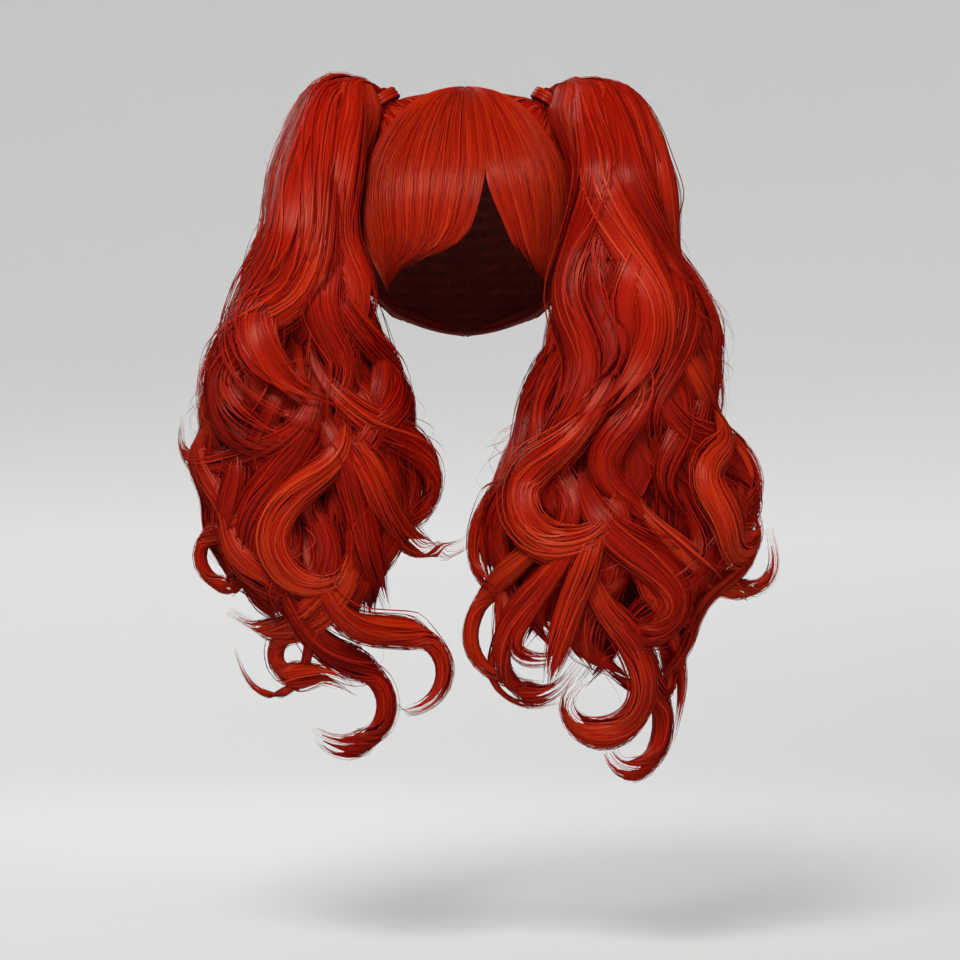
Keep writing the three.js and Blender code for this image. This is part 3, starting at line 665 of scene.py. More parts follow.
# A lock that starts part of the way down comes from inside the tail: how far above its first bend,
# how deep under the tail's surface, and its turn there, as a share of the first bend's.
LOCK_LEAD = [(76, -18, -0.2), (38, -9, -0.5)]
LONG_LOCK_TOP = -130.0
LOCK_STEPS = 34
LOCK_TWIST = 0.9
TIP_SPREAD = 2.2
# How full a lock is at its root, the share of its length at which it is full, and the share over which
# its painted root shade fades out: one that starts at the tie, and one that starts inside the tail.
TIE_ROOT = (0.35, 0.4, 0.1)
INSIDE_ROOT = (0.12, 0.55, 0.42)
# Where along its length a lock starts to thin, how full it still is at its tip, and the locks that stay
# broad to their ends.
LOCK_THINS = 0.72
LOCK_TIP, BROAD_TIP = 0.32, 0.5
BROAD_LOCKS = {"flick_right", "ring_right", "ring_left", "right_flick", "smooth_sheet"}
# How many wide strips wrap a lock and how many fine strands lie over them.
LOCK_HAIR = (6, 32)
BACK_LOCK_HAIR = (5, 18)
RINGLET_HAIR = (4, 15)
# What the strips and the strands of a lock are like: points across each, the half arc of the lock that
# they lie on, from which share of its radius to which, their crest, the share that springs loose, the
# share of its length that the longest reach, where they start to thin, and how far their tips part.
LOCK_STRIP = (5, np.pi, 0.80, 0.92, 0.05, 0.0, 0.96, 0.82, 0.35)
LOCK_STRAND = (3, 0.66 * np.pi, 0.93, 1.08, 0.03, 0.08, 1.0, 0.72, 1.0)
STRIP_OVERLAP = 1.5
STRAND_WIDTH = 1.25
STRAND_WANDER = 0.22
STRAND_RIPPLE = 0.06
# The share of a lock's length by which its shortest hair ends early.
SHORT_HAIR = 0.24
# How far a loose strand springs: as a share of the lock's radius, and straight out.
SPRING, SPRING_OUT = 0.5, 2.5
CURL_TONES = (0.32, 0.66)
TONE_VARIES = 0.09
TONE_FLOOR = 0.22
DEEP_SHADE = 0.5
PIGTAIL_SEED = 47
# The heart's colours are painted shade: dark red for the shadowed depth of the tail.
HEART_DEEP = (0.040, 0.0008, 0.0004, 1)
HEART_LIGHT = (0.210, 0.0036, 0.0012, 1)
# Each lock has its width, how far its middle stands off the trunk, and the bends, x and z seen from
# the front, that it is drawn through.
LOCKS = {
    "left": [
        ("outer_drop", 24, -4,
         [(-118, -40), (-125, -80), (-131, -125), (-151, -156), (-178, -187)]),
        ("side_loop", 15, 2,
         [(-128, -84), (-146, -106), (-156, -128), (-140, -146)]),
        ("shoulder", 28, 5,
         [(-104, -123), (-115, -147), (-150, -162), (-177, -190), (-178, -225), (-158, -256)]),
        ("broad_wave", 32, 6,
         [(-142, -158), (-162, -190), (-160, -220), (-134, -240), (-102, -238)]),
        ("smooth_sheet", 42, 8,
         [(-118, -112), (-144, -146), (-148, -182), (-128, -209), (-102, -222), (-84, -226)]),
        ("front_fall", 24, 3,
         [(-82, -50), (-86, -100), (-70, -142), (-84, -188), (-64, -222)]),
        ("mid_fall", 24, 2,
         [(-104, -64), (-92, -118), (-98, -150), (-80, -190), (-92, -225), (-70, -262)]),
        ("inner_loop", 20, 7,
         [(-74, -160), (-50, -190), (-48, -222), (-72, -236), (-86, -214)]),
        ("inner_bulge", 22, 4,
         [(-72, -222), (-40, -238), (-22, -262), (-28, -288), (-48, -300)]),
        ("flick_right", 22, 5,
         [(-66, -258), (-52, -290), (-34, -312), (-12, -318), (4, -308)]),
        ("left_c", 15, 4,
         [(-112, -230), (-146, -247), (-182, -256), (-199, -244), (-197, -222)]),
        ("ringlet_a", 22, 2,
         [(-104, -228), (-128, -262), (-148, -292), (-146, -326), (-120, -342), (-98, -330)]),
        ("ringlet_b", 20, 8,
         [(-84, -250), (-116, -276), (-132, -306), (-116, -336), (-88, -338), (-76, -318)]),
        ("low_left_ring", 15, 4,
         [(-150, -292), (-178, -304), (-187, -324), (-168, -342), (-148, -334)]),
        ("inner_drop", 20, 4,
         [(-84, -248), (-72, -290), (-64, -320), (-54, -358)]),
        ("bottom_arc", 18, 3,
         [(-84, -342), (-106, -364), (-138, -371), (-166, -358)]),
        ("ring_right", 20, 6,
         [(-94, -344), (-74, -368), (-32, -374), (-13, -394), (-19, -418), (-42, -430), (-54, -424)]),
        ("ring_left", 21, 2,
         [(-118, -352), (-96, -382), (-68, -398), (-54, -416), (-55, -436), (-70, -450), (-88, -452),
          (-104, -443)]),
        ("bottom_roll", 18, 5,
         [(-104, -350), (-128, -376), (-134, -395), (-118, -405), (-96, -398), (-76, -414)]),
        ("flick_left", 9, 2,
         [(-104, -372), (-112, -400), (-125, -416), (-142, -416), (-154, -402), (-160, -384)]),
    ],
    "right": [
        ("outer_drop", 26, -4,
         [(128, -50), (136, -100), (164, -138), (172, -180), (164, -215), (184, -240)]),
        ("face_frame", 26, 5,
         [(92, -60), (76, -106), (68, -146), (84, -186), (64, -228), (38, -266)]),
        ("second_s", 26, 3,
         [(94, -70), (118, -118), (134, -150), (128, -184), (104, -216), (70, -240)]),
        ("third_s", 26, 1,
         [(116, -70), (140, -118), (152, -156), (140, -194), (124, -224), (134, -258)]),
        ("outer_low", 24, 1,
         [(160, -196), (172, -228), (194, -250), (202, -278), (182, -296)]),
        ("fluff", 26, 2,
         [(146, -230), (170, -240), (191, -260), (200, -286), (176, -310)]),
        ("right_flick", 16, 3,
         [(152, -318), (172, -338), (200, -344), (216, -330), (211, -300)]),
        ("big_ring", 26, 8,
         [(70, -240), (42, -262), (38, -292), (60, -314), (94, -304), (106, -272)]),
        ("centre_roll", 26, 6,
         [(96, -300), (132, -326), (146, -352), (122, -374), (92, -356)]),
        ("left_c", 15, 3,
         [(44, -262), (18, -280), (6, -306), (9, -332), (28, -348)]),
        ("left_c2", 17, 1,
         [(40, -320), (16, -346), (3, -372), (9, -394), (30, -408), (56, -408)]),
        ("left_ring", 16, 6,
         [(60, -326), (32, -362), (24, -390), (38, -414), (62, -412), (78, -390)]),
        ("lens_ring", 11, 8,
         [(66, -322), (42, -360), (32, -384), (54, -391), (80, -378)]),
        ("low_wisp", 7, 4,
         [(44, -350), (22, -382), (18, -408), (40, -424), (64, -420)]),
        ("strand_mid", 16, 9,
         [(84, -318), (72, -352), (62, -388), (58, -412)]),
        ("bottom_ring", 20, 6,
         [(90, -346), (114, -380), (124, -412), (106, -442), (80, -440), (67, -420), (82, -402)]),
        ("bottom_tip", 22, 2,
         [(110, -368), (134, -416), (138, -444), (128, -464), (112, -471), (98, -460), (98, -446)]),
        ("deep_drop", 26, -6,
         [(100, -318), (90, -348), (84, -376), (92, -400)]),
        ("right_wisp", 12, 4,
         [(132, -350), (150, -394), (150, -424), (144, -450)]),
        ("right_curl", 16, 3,
         [(126, -346), (146, -352), (158, -372), (146, -388), (126, -380)]),
    ],
}
# Locks drawn once more elsewhere round the tail: how far they are turned round it, and which they are.
TURNED_LOCKS = {
    "left": [
        (-90, ["mid_fall", "ringlet_b", "inner_drop"]),
        (180, ["mid_fall", "inner_loop", "ringlet_a"]),
    ],
    "right": [
        (90, ["second_s", "big_ring", "strand_mid"]),
        (180, ["third_s", "big_ring", "left_ring"]),
    ],
}


def section(side, z):
    """The middle (x, y) and the half width and half depth of a trunk's level section at height z."""
    rows = np.array(sorted(TRUNKS[side]), float)
    inner, outer, front, back = np.moveaxis(table_curve(rows[:, 0], rows[:, 1:], z), -1, 0)
    return SIDES[side] * (inner + outer) / 2, (front + back) / 2, (outer - inner) / 2, (back - front) / 2


def round_trunk(side, z, angle, lift):
    """A point round a trunk's section at height z, by its angle from the front, lifted off it."""
    z = np.asarray(z, float)
    x, y, half_width, half_depth = section(side, z)
    place = x + (half_width + lift) * np.sin(angle), y - (half_depth + lift) * np.cos(angle), z
    return np.stack(np.broadcast_arrays(*place), -1)


def hollow(side, z, angle):
    """How far loose hair sinks in at a point round a trunk: a rounded groove along each hollow's line."""
    x, _, z = np.moveaxis(round_trunk(side, z, angle, 0), -1, 0)
    sunk = 0 * x
    for x0, z0, x1, z1, width in HOLLOWS[side]:
        run, fall_by = x1 - x0, z1 - z0
        share = np.clip(((x - x0) * run + (z - z0) * fall_by) / (run * run + fall_by * fall_by), 0, 1)
        off = np.hypot(x - x0 - share * run, z - z0 - share * fall_by)
        sunk = np.maximum(sunk, HOLLOW_DEPTH * np.exp(-(off / width) ** 2))
    return sunk * (np.cos(angle) > 0)


def out_of_oval(points, middle_y, half_width, half_depth):
    """Moves points straight out from an upright oval, each on its own level, until none is inside."""
    half_width, half_depth = np.maximum(half_width, 1e-6), np.maximum(half_depth, 1e-6)
    reach = np.hypot(points[..., 0] / half_width, (points[..., 1] - middle_y) / half_depth)
    grow = 1 / np.clip(reach, 1e-6, 1)
    moved = points.copy()
    moved[..., 0] *= grow
    moved[..., 1] = middle_y + (moved[..., 1] - middle_y) * grow
    return moved


def clear_of_wearer(points, lift):
    """Keeps loose hair clear of the dressed head by lift, and of the wearer's neck below it."""
    level = (points[..., 2] + CROWN_TO_WIDEST) / (CROWN_TO_WIDEST + lift)
    share = np.sqrt(np.maximum(1 - level * level, 0))
    clear = out_of_oval(points, 0, (HEAD_HALF_WIDTH + lift) * share, (HEAD_HALF_DEPTH + lift) * share)
    reach = WEARER_NECK_RADIUS * ease(WEARER_NECK_TOP - points[..., 2], 0, WEARER_NECK_BLEND)
    return out_of_oval(clear, WEARER_NECK_Y, reach, reach)


def heart(side):
    """The dense middle of a tail: its trunk, drawn in all round, with a round foot."""
    rows = np.array(TRUNKS[side], float)
    foot = rows[-1, 0] + HEART_FOOT
    z = np.linspace(rows[0, 0] - 2.5 * HEART_SHRINK, foot, HEART_RINGS)[:, None]
    angle = np.linspace(0, 2 * np.pi, HEART_SIDES, endpoint=False)
    x, y, half_width, half_depth = section(side, z)
    near_foot = np.clip((foot + HEART_TAPER - z) / HEART_TAPER, 0, 1)
    narrowed = np.sqrt(1 - near_foot ** 2)
    shrunk = HEART_SHRINK + 0.6 * hollow(side, z, angle)
    across = np.maximum((half_width - shrunk) * narrowed, 1) * np.sin(angle)
    deep = np.maximum((half_depth - shrunk) * narrowed, 1) * np.cos(angle)
    rings = np.stack(np.broadcast_arrays(x + across, y - deep, z), -1)
    return loft(clear_of_wearer(rings, HAIR_CLEARANCE), 0.2, 0.15)


def tail_root(side):
    """The dense root of a tail where it passes up through its tie: a round plug, rounded at its top."""
    seat, axis = tie_seat(side)
    across = unit(np.cross(axis, [0, 1, 0]))
    deep = np.cross(axis, across)
    angle = np.linspace(0, 2 * np.pi, ROOT_SIDES, endpoint=False)[:, None]
    ring = np.cos(angle) * across + np.sin(angle) * deep
    height, share = np.array(ROOT_PROFILE, float).T[..., None, None]
    return loft(seat + ring * (ROOT_RADIUS * share) + axis * height, 0.3, 0.3)


def heart_material():
    """Painted shade for the depth of the hair: dark red with streaks down the tail, from a noise drawn out
    along it, and hardly any gloss."""
    material, shader, add, wire = new_material("painted_shade_hair")
    place = add("ShaderNodeTexCoord", {}).outputs["Object"]
    drawn = add("ShaderNodeMapping", {"Vector": place, "Scale": HEART_STREAKS}).outputs[0]
    noise = add("ShaderNodeTexNoise", {"Vector": drawn, "Scale": 1.0, "Detail": 2}).outputs[0]
    streak = add("ShaderNodeMapRange", {"Value": noise, "From Min": 0.4, "From Max": 0.62}).outputs[0]
    shades = add("ShaderNodeMix", {"Factor": streak, "A": HEART_DEEP, "B": HEART_LIGHT}, data_type="RGBA")
    wire(shader, {"Base Color": shades.outputs[2], "Roughness": 0.9, "Specular IOR Level": 0.05})
    return material


painted_shade_hair = heart_material()


def along_curve(stations, extra, count):
    """A smooth curve through the stations at even steps, and the extra columns carried along it. Each
    point is then drawn a few times towards the middle of its neighbours, which rounds tight bends."""
    keys = np.arange(len(stations))
    dense_at = np.linspace(0, keys[-1], 20 * len(stations))
    dense = table_curve(keys, stations, dense_at)
    length = np.concatenate([[0], np.cumsum(np.linalg.norm(np.diff(dense, axis=0), axis=1))])
    at = np.interp(np.linspace(0, length[-1], count), length, dense_at)
    drawn = [table_curve(keys, values, at) for values in (stations, extra)]
    for _ in range(CURVE_SMOOTHINGS):
        drawn = [np.concatenate([d[:1], (d[:-2] + 2 * d[1:-1] + d[2:]) / 4, d[-1:]]) for d in drawn]
    return drawn


def lock_path(side, width, lift, bends, turn):
    """The middle of a lock and the way it faces. A long lock comes from the tie over the top of the
    tail, and any other comes from inside the trunk. Then it follows its bends, in turn out and in."""
    x, z = np.array(bends, float).T
    lifts = lift + LOCK_SWAY * (1 - 2 * (np.arange(len(x)) % 2))
    middle, _, half_width, _ = section(side, z)
    share = (x - middle) / (half_width + lifts)
    angle = np.arcsin(np.clip(share, -1, 1)) + np.radians(turn)
    beyond = np.maximum(np.abs(share) - 1, 0) * (half_width + lifts)
    points = round_trunk(side, z, angle, lifts + beyond)
    foot = TRUNKS[side][-1][0]
    if z[0] > LONG_LOCK_TOP:
        seat, axis = tie_seat(side)
        out = np.array([np.sin(angle[0]), -np.cos(angle[0]), 0])
        heights = np.array([[TIE_TOP - KNOT_BELOW], [TIE_TOP + KNOT_ABOVE]])
        knot = seat + axis * heights + np.array([[0], [KNOT_OUT]]) * out
        over = np.array([DOME_Z, SHOULDER_Z, (z[0] + SHOULDER_Z) / 2])
        lead = np.concatenate([knot, round_trunk(side, over, angle[0], np.array([-2, -1, lift - 2]))])
    else:
        rise, sink, back = np.array(LOCK_LEAD, float).T
        lead = round_trunk(side, max(z[0], foot) + rise, angle[0] + back * (angle[1] - angle[0]), sink)
    points = clear_of_wearer(np.concatenate([lead, points]), HAIR_CLEARANCE + 0.4 * width)
    angle = np.concatenate([np.full(len(lead), angle[0]), angle])
    facing = np.stack([np.sin(angle), -np.cos(angle), 0 * angle], 1)
    if z[0] > LONG_LOCK_TOP:
        facing[:2, 2] = (2.0, 1.0)
    return along_curve(points, unit(facing), LOCK_STEPS)


def bundle(centre, facing, half_width, half_depth, hair, tone, shown, rng):
    """A lock's hair, laid round its oval section: a few wide strips that wrap it, and fine strands
    over them, most on the side that faces out. Each keeps its place round the oval, wanders a little,
    turns with the lock's slow twist, and ends somewhere in the last part of it. Some strands spring
    loose in the middle. Towards the tip they part into a few points. Its root is darkened with painted
    shade, which fades over the first part of its length, up to the share shown."""
    steps = len(centre)
    along = unit(np.gradient(centre, axis=0))
    side = unit(np.cross(along, facing))
    out = np.cross(side, along)
    own = np.linspace(0, 1, steps)
    twist = rng.uniform(-LOCK_TWIST, LOCK_TWIST) * own
    tips = rng.normal(0, TIP_SPREAD, (3, 2))
    wide, fine = hair
    strip_half = np.full(steps, STRIP_OVERLAP * np.pi / wide)
    strand_half = STRAND_WIDTH / 2 / np.maximum(half_width, 1.5)
    made = []
    for count, half, kind in ((wide, strip_half, LOCK_STRIP), (fine, strand_half, LOCK_STRAND)):
        across, arc, low, high, crest, loose_share, ends, thins, spread = kind
        random = [rng.random((count, 1, 1)) for _ in range(7)]
        share = own * ends * (1 - SHORT_HAIR * random[0] ** 2)
        first = np.minimum((share * (steps - 1)).astype(int), steps - 2)
        part = share * (steps - 1) - first

        def at(values):
            """Values along the lock, read between its steps at each strand's own shares."""
            more = part.reshape(part.shape + (1,) * (values.ndim - 1))
            return values[first] * (1 - more) + values[first + 1] * more

        taper = blend(0.15, 1, ease(own, 0, 0.25)) * blend(1, 0.1, ease(own, thins, 1))
        offset, proud = crowned(across, crest)
        place = 2 * (np.arange(count)[:, None, None] + random[1]) / count - 1
        wave = (0.5 + 1.5 * random[2]) * share + random[3]
        turn = np.pi / 2 + arc * place + at(twist) + STRAND_WANDER * np.sin(2 * np.pi * wave)
        turn = turn + offset * at(half) * taper
        sprung = (random[4] < loose_share) * random[5] * np.sin(np.pi * share) ** 2
        ripple = STRAND_RIPPLE * np.sin(2 * np.pi * (1.3 * wave + 0.3))
        radius = blend(low, high, random[6]) + proud + ripple + SPRING * sprung
        tip = spread * tips[rng.integers(0, 3, count)][:, None, None] * random[5][..., None]
        loose = ease(share, 0.6, 1.05) ** 2
        sideways = at(half_width) * radius * np.cos(turn) + loose * tip[..., 0]
        outwards = at(half_depth) * radius * np.sin(turn) + loose * tip[..., 1] * 0.6 + SPRING_OUT * sprung
        rows = at(centre) + at(side) * sideways[..., None] + at(out) * outwards[..., None]
        tones = np.clip(tone + rng.normal(0, TONE_VARIES, (count, 1)), TONE_FLOOR, 1)
        # Painted shade at the root, as though the lock came out of the tail's shadow.
        shade = blend(DEEP_SHADE, 1, ease(share[:, 0], shown * 0.25, shown))
        made.append(strips(rows.swapaxes(1, 2)[:, :, ::-1], tones, shade))
    return made


def lock(side, name_row, turn, hair, tone, rng):
    """A whole lock of the table, fullest in its upper half and drawn out to its tip."""
    name, width, lift, bends = name_row
    centre, facing = lock_path(side, width, lift, bends, turn)
    share = np.linspace(0, 1, LOCK_STEPS)
    long_lock = bends[0][1] > LONG_LOCK_TOP
    tip = BROAD_TIP if name in BROAD_LOCKS else LOCK_TIP
    root, grown, shown = TIE_ROOT if long_lock else INSIDE_ROOT
    full = blend(root, 1, ease(share, 0, grown)) * blend(1, tip, ease(share, LOCK_THINS, 1))
    half_width = LOCK_FULLNESS * width / 2 * full
    return bundle(centre, facing, half_width, half_width * LOCK_DEPTH, hair, tone, shown, rng)


FALL_STEPS = 22
# Layers of smooth hair, each row as in COMB_LAYERS, but with the level as a distance off the trunk.
FALL_LAYERS = [(36, 5, 1.7, 0.5, -0.5), (260, 3, 0.95, 0.3, 1.8)]
# The heights that the smooth hair goes on from below the shoulder, and between which it ends, and how
# wide a strip is at each height it is drawn through.
FALL_TOP = -34.0
FALL_ENDS = (-215, -110)
FALL_TAPER = [0.8, 0.9, 1, 1, 1, 1, 0.85, 0.1]
FALL_WAVE, FALL_SWAY, FALL_RIDGE = 105, 0.15, 1.6
FALL_TONE, FALL_TONE_SWING = 0.48, 0.12
LOW_FALL = (40, 5, 1.8, 0.8, -4.0)
LOW_FALL_STEPS = 20
# The height that the deep hair starts at and how far that varies, and how far above the tail's foot it
# ends.
LOW_FALL_TOP, LOW_FALL_TOP_VARIES = -100, 30
LOW_FALL_ENDS = (95, 170)
LOW_FALL_WAVE, LOW_FALL_SWAY, LOW_FALL_RIDGE = 90, 0.16, 2.5
# Lower than the curls' tones: painted shade for the deep hair behind the curls.
LOW_FALL_TONES = (0.2, 0.45)


def fall(side, count, across, share_wide, crest, level, rng):
    """Smooth hair from the tie over the top of the tail and down all round it. Lower down it sways in
    waves, neighbours together."""
    seat, axis = tie_seat(side)
    offset, proud = crowned(across, crest)
    offset, proud = offset[:, 0], proud[:, 0]
    centre = 2 * np.pi * ((np.arange(count) + rng.uniform(0.1, 0.9, count)) / count)[:, None]
    end = rng.uniform(*FALL_ENDS, (count, 1))
    reach = np.stack([0 * end + z for z in (DOME_Z, SHOULDER_Z, FALL_TOP)]
                     + [blend(FALL_TOP, end, k / 5) for k in range(1, 6)])
    taper = np.array(FALL_TAPER)[:, None, None]
    angle = centre + offset * np.pi * share_wide / count * taper
    phase = 2.2 * np.sin(2 * centre + 0.4) + 1.7 * np.sin(5 * centre + 1.0) + rng.normal(0, 0.2, (count, 1))
    sway = FALL_SWAY * ease(-reach, 40, 150) * np.sin(2 * np.pi * reach / FALL_WAVE + phase)
    ridge = FALL_RIDGE * np.cos(11 * centre + 0.02 * reach) + rng.uniform(-1.0, 1.0, (count, 1))
    lift = level + ridge * ease(-reach, 0, 40) + proud * taper
    reach = np.broadcast_to(reach, angle.shape)
    points = round_trunk(side, reach, angle + sway, lift - hollow(side, reach, angle + sway))
    out = np.stack([np.sin(angle[0]), -np.cos(angle[0]), 0 * angle[0]], -1)
    root = seat + axis * (TIE_TOP - KNOT_BELOW) + 5.0 * out
    top = seat + axis * (TIE_TOP + KNOT_ABOVE + 0.6 * level) + (KNOT_OUT + proud)[..., None] * out
    stations = clear_of_wearer(np.concatenate([[root], [top], points]), HAIR_CLEARANCE)
    keys = np.arange(len(stations))
    rows = table_curve(keys, stations, keys[-1] * np.linspace(0, 1, FALL_STEPS) ** 1.35)
    tone = FALL_TONE + FALL_TONE_SWING * np.sin(7 * centre) + rng.normal(0, TONE_VARIES, (count, 1))
    tone = np.clip(tone, TONE_FLOOR, 1)
    # Painted shade at the root, where the hair comes out of the tie.
    shade = blend(DEEP_SHADE, 1, ease(np.linspace(0, 1, FALL_STEPS), 0, 0.15))
    return strips(rows.transpose(1, 0, 2, 3), tone, shade)


def low_fall(side, count, across, share_wide, crest, level, rng):
    """Deep hair that carries on from the smooth fall to the foot of the tail, behind the curls."""
    offset, proud = crowned(across, crest)
    foot = TRUNKS[side][-1][0]
    along = np.linspace(0, 1, LOW_FALL_STEPS)
    centre = 2 * np.pi * ((np.arange(count) + rng.uniform(0.1, 0.9, count)) / count)[:, None, None]
    start = LOW_FALL_TOP + rng.uniform(-LOW_FALL_TOP_VARIES, LOW_FALL_TOP_VARIES, (count, 1, 1))
    z = blend(start, foot + rng.uniform(*LOW_FALL_ENDS, (count, 1, 1)), along)
    taper = blend(1, 0.06, ease(along, 0.6, 1))
    phase = 2 * np.pi * z / LOW_FALL_WAVE + 3 * np.sin(2 * centre) + rng.uniform(0, 1, (count, 1, 1))
    sway = LOW_FALL_SWAY * np.sin(phase)
    angle = centre + sway + offset * taper * np.pi * share_wide / count
    lift = level + LOW_FALL_RIDGE * np.cos(9 * centre + 0.03 * z) + proud * taper
    z = np.broadcast_to(z, angle.shape)
    points = round_trunk(side, z, angle, lift - hollow(side, z, angle))
    rows = clear_of_wearer(points, HAIR_CLEARANCE)
    # Its low tones and a shade of 0.8 are painted shade, for hair that lies behind the curls.
    return strips(rows.swapaxes(1, 2), rng.uniform(*LOW_FALL_TONES, (count, 1)), 0.8)


RINGLET_STEPS = 19
# Tiers of ringlets: the height they start at, how long they are, and how many go round the tail.
RINGLET_ROWS = [(-60, 170, 12), (-120, 170, 13), (-175, 165, 13), (-230, 160, 11), (-280, 120, 6)]
RINGLET_WAVE = 105.0
RINGLET_FOOT = 34.0
RINGLET_START_VARIES = 22
RINGLET_WIDTHS = (20, 30)
RINGLET_COILS = (10, 15)
# Lower than the curls' tones: painted shade for the ringlets that lie beneath them.
RINGLET_TONES = (0.2, 0.5)


def ringlets(side, rng):
    """Loose curls all round the tail in tiers, each a coil drawn out downwards over the trunk. They
    swing with a wave of their height and angle, so neighbours flow together."""
    made = []
    foot = TRUNKS[side][-1][0]
    for top, length, number in RINGLET_ROWS:
        for place in range(number):
            angle = 2 * np.pi * (place + rng.uniform(-0.3, 0.3)) / number
            start = top + rng.uniform(-RINGLET_START_VARIES, RINGLET_START_VARIES)
            reach = min(length * rng.uniform(0.8, 1.1), start - foot - RINGLET_FOOT)
            width = rng.uniform(*RINGLET_WIDTHS)
            coil = rng.uniform(*RINGLET_COILS)
            share = np.linspace(0, 1, 12)
            z = start - reach * share
            phase = 2 * np.pi * z / RINGLET_WAVE + 2.0 * np.sin(2 * angle + 1) + rng.normal(0, 0.6)
            _, _, half_width, half_depth = section(side, z)
            swing = coil * blend(0.5, 1.3, share) / np.maximum(np.minimum(half_width, half_depth), 14)
            turned = angle + swing * np.sin(phase)
            lift = blend(-20, -4 + coil * 0.45 * np.cos(phase) + 4 * share, ease(share, -0.05, 0.4))
            lift = lift - 1.5 * hollow(side, z, turned)
            points = clear_of_wearer(round_trunk(side, z, turned, lift), HAIR_CLEARANCE + 0.4 * width)
            facing = np.stack([np.sin(turned), -np.cos(turned), 0 * turned], 1)
            centre, faces = along_curve(points, facing, RINGLET_STEPS)
            own = np.linspace(0, 1, RINGLET_STEPS)
            half = width / 2 * blend(0.12, 1, ease(own, 0.05, 0.55)) * blend(1, 0.25, ease(own, 0.6, 1))
            tone = rng.uniform(*RINGLET_TONES)
            made += bundle(centre, faces, half, half * LOCK_DEPTH, RINGLET_HAIR, tone, 0.5, rng)
    return made


# Loose single hairs, all over and in tufts: how many, the height they start at and how far that
# varies, their angle from the front and how far that varies, and how long they are.
STRAY_HAIRS = {
    "left": [(16, -200, 190, 0, 180, 60), (26, -30, 30, -75, 30, 110), (34, -215, 35, -70, 30, 70),
             (16, -300, 40, -60, 40, 60), (20, -250, 40, 60, 40, 60)],
    "right": [(16, -210, 190, 0, 180, 60), (26, -120, 60, 75, 30, 90), (44, -275, 40, 80, 28, 70),
              (12, -340, 40, 60, 50, 60), (20, -260, 40, -60, 40, 60)],
}
STRAY_WIDTH = 0.45
STRAY_LIFTS = (8, 18)
STRAY_TONES = (0.25, 0.55)


def stray_hairs(side, rng):
    """Single fine hairs that have sprung loose, each leaving the tail in a shallow arc."""
    made = []
    top, foot = TRUNKS[side][1][0], TRUNKS[side][-1][0]
    share = np.linspace(0, 1, 12)[:, None]
    for count, middle, varies, turned, turns, long in STRAY_HAIRS[side]:
        start = np.clip(middle + rng.uniform(-varies, varies, count), foot + 20, top - 10)
        angle = np.radians(turned + rng.uniform(-turns, turns, count))
        z = start - long * rng.uniform(0.5, 1.3, count) * share * rng.uniform(0.3, 1.0, count)
        sweep = rng.normal(0, 0.14, count) * share + 0.16 * np.sin(6 * share + 3 * angle)
        lift = rng.uniform(*STRAY_LIFTS, count) * np.sin(np.pi * share * rng.uniform(0.5, 0.95, count)) - 1
        paths = clear_of_wearer(round_trunk(side, np.maximum(z, foot), angle + sweep, lift), HAIR_CLEARANCE)
        facing = np.stack([np.sin(angle), -np.cos(angle), 0 * angle], 1)[:, None]
        width = STRAY_WIDTH * blend(1, 0.3, ease(share.T, 0.5, 1))
        paths = paths.swapaxes(0, 1)
        tone = rng.uniform(*STRAY_TONES, (count, 1))
        made.append(strands(paths, np.broadcast_to(facing, paths.shape), width, tone, 1))
    return made


for side in SIDES:
    rng = np.random.default_rng(PIGTAIL_SEED)
    node = f"pigtail_{side}"
    # The heart and the plug in the tie take the painted shade of the hair's depth.
    hang_mesh(f"{node}_heart", [heart(side), tail_root(side)], painted_shade_hair, "hair", node)
    smooth = [fall(side, *layer, rng) for layer in FALL_LAYERS] + [low_fall(side, *LOW_FALL, rng)]
    hang_mesh(f"{node}_fall", smooth + stray_hairs(side, rng), red_hair, "hair", node)
    rows = {row[0]: row for row in LOCKS[side]}
    curls = [part for row in rows.values()
             for part in lock(side, row, 0, LOCK_HAIR, rng.uniform(*CURL_TONES), rng)]
    hang_mesh(f"{node}_curls", curls, red_hair, "hair", node)
    turned = [part for turn, names in TURNED_LOCKS[side] for name in names
              for part in lock(side, rows[name], turn, BACK_LOCK_HAIR, rng.uniform(*CURL_TONES), rng)]
    hang_mesh(f"{node}_back_curls", turned, red_hair, "hair", node)
    hang_mesh(f"{node}_ringlets", ringlets(side, rng), red_hair, "hair", node)


# Studio
# A pale round sweep, which is floor and backdrop from every side, soft boxes, and a camera straight
# in front at the height of the tails.
FLOOR_Z = -0.60
FLOOR_RADIUS = 1.3
WALL_RADIUS = 3.6
WALL_TOP = 3.4
# The floor is painted darker than the wall: painted shade that evens out the lamps' light on it.
SHADED_FLOOR_COLOUR = (0.575, 0.575, 0.57, 1)
WALL_COLOUR = (0.80, 0.80, 0.795, 1)
FLOOR_TURNS_TO_WALL = (-0.6, -0.35)
CAMERA_PLACE = (0.0105, -2.230, -0.267)
FOCAL_PIXELS = 3143
IMAGE_PIXELS = 960
SENSOR_WIDTH = 36.0
WORLD_LIGHT = 0.2
SWEEP_STEPS, SWEEP_SIDES = 24, 64
# Each soft box: place in metres, what it points at, its width, its power in watts, and whether the
# hair's gloss mirrors it.
SOFT_BOXES = [
    ((-0.5, -1.6, 1.25), (0, 0, -0.15), 0.8, 44, True),
    ((1.2, -1.6, 0.55), (0, 0, -0.25), 1.2, 11, False),
    ((0.0, 1.3, 1.2), (0, 0, -0.2), 1.4, 14, False),
    ((-1.2, 1.3, 0.8), (0, 0, -0.2), 0.8, 8, True),
    ((0.0, 0.7, 1.1), (0, 3.4, -0.6), 2.0, 17, False),
]


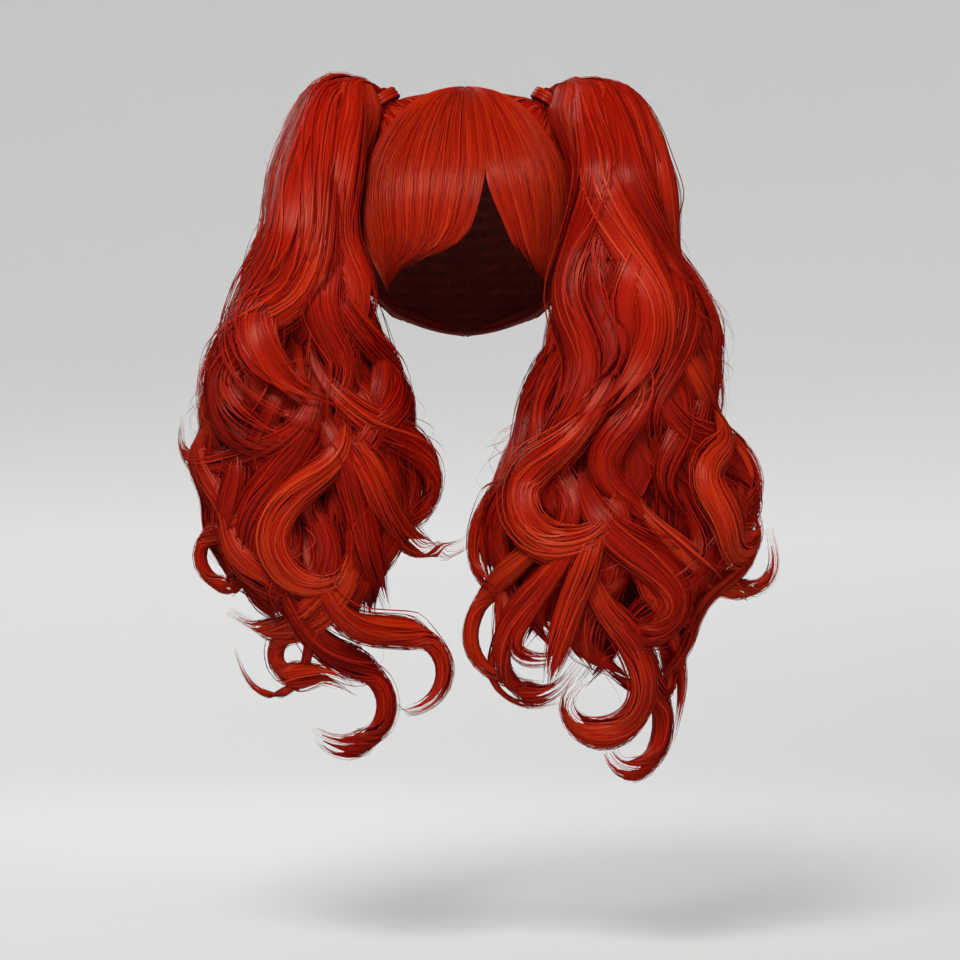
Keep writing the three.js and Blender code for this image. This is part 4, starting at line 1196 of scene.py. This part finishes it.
def sweep():
    """A dish turned about the upright axis: a flat floor, a quarter round, and an upright wall."""
    bend = WALL_RADIUS - FLOOR_RADIUS
    angle = np.linspace(0, np.pi / 2, SWEEP_STEPS)
    radius = np.concatenate([[0.02], FLOOR_RADIUS + bend * np.sin(angle), [WALL_RADIUS]])
    height = np.concatenate([[0], bend * (1 - np.cos(angle)), [WALL_TOP]]) + FLOOR_Z
    turn = np.linspace(0, 2 * np.pi, SWEEP_SIDES, endpoint=False)
    rings = np.stack(np.broadcast_arrays(radius[:, None] * np.cos(turn), radius[:, None] * np.sin(turn),
                                         height[:, None]), -1)
    dish = loft(rings, 0, 1)
    centre_fan = dish["tris"][:len(turn)]
    mesh = bpy.data.meshes.new("studio_sweep")
    mesh.from_pydata(dish["points"].tolist(), [], dish["quads"].tolist() + centre_fan.tolist())
    mesh.polygons.foreach_set("use_smooth", np.ones(len(mesh.polygons), bool))
    material, shader, add, wire = new_material("studio_sweep")
    place = add("ShaderNodeTexCoord", {}).outputs["Object"]
    height = add("ShaderNodeSeparateXYZ", {"Vector": place}).outputs["Z"]
    low, high = FLOOR_TURNS_TO_WALL
    risen = add("ShaderNodeMapRange", {"Value": height, 1: low, 2: high, 3: 0, 4: 1}).outputs[0]
    # Darker on the floor, lighter up the wall: painted shade.
    shades = add("ShaderNodeMix", {"Factor": risen, "A": SHADED_FLOOR_COLOUR, "B": WALL_COLOUR}, data_type="RGBA")
    wire(shader, {"Base Color": shades.outputs[2], "Roughness": 0.9})
    mesh.materials.append(material)
    backdrop = bpy.data.objects.new("studio_sweep", mesh)
    bpy.context.scene.collection.objects.link(backdrop)
    backdrop.visible_glossy = False


def aim(thing, place, target):
    """Puts a lamp or the camera in its place, turned to look at its target."""
    thing.location = place
    thing.rotation_euler = (Vector(target) - Vector(place)).to_track_quat("-Z", "Y").to_euler()
    bpy.context.scene.collection.objects.link(thing)


sweep()
for number, (place, target, width, power, mirrored) in enumerate(SOFT_BOXES):
    lamp = bpy.data.lights.new(f"soft_box_{number}", "AREA")
    lamp.shape = "SQUARE"
    lamp.size = width
    lamp.energy = power
    soft_box = bpy.data.objects.new(lamp.name, lamp)
    soft_box.visible_glossy = mirrored
    aim(soft_box, place, target)

world = bpy.data.worlds.new("studio")
world.use_nodes = True
world.node_tree.nodes["Background"].inputs["Color"].default_value = (1, 1, 1, 1)
world.node_tree.nodes["Background"].inputs["Strength"].default_value = WORLD_LIGHT
bpy.context.scene.world = world
world.cycles_visibility.glossy = False
bpy.context.scene.view_settings.view_transform = "Standard"

camera = bpy.data.cameras.new("front")
camera.sensor_width = SENSOR_WIDTH
camera.lens = FOCAL_PIXELS / IMAGE_PIXELS * SENSOR_WIDTH
viewer = bpy.data.objects.new("front", camera)
straight_ahead = (CAMERA_PLACE[0], 0, CAMERA_PLACE[2])
aim(viewer, CAMERA_PLACE, straight_ahead)
bpy.context.scene.camera = viewer
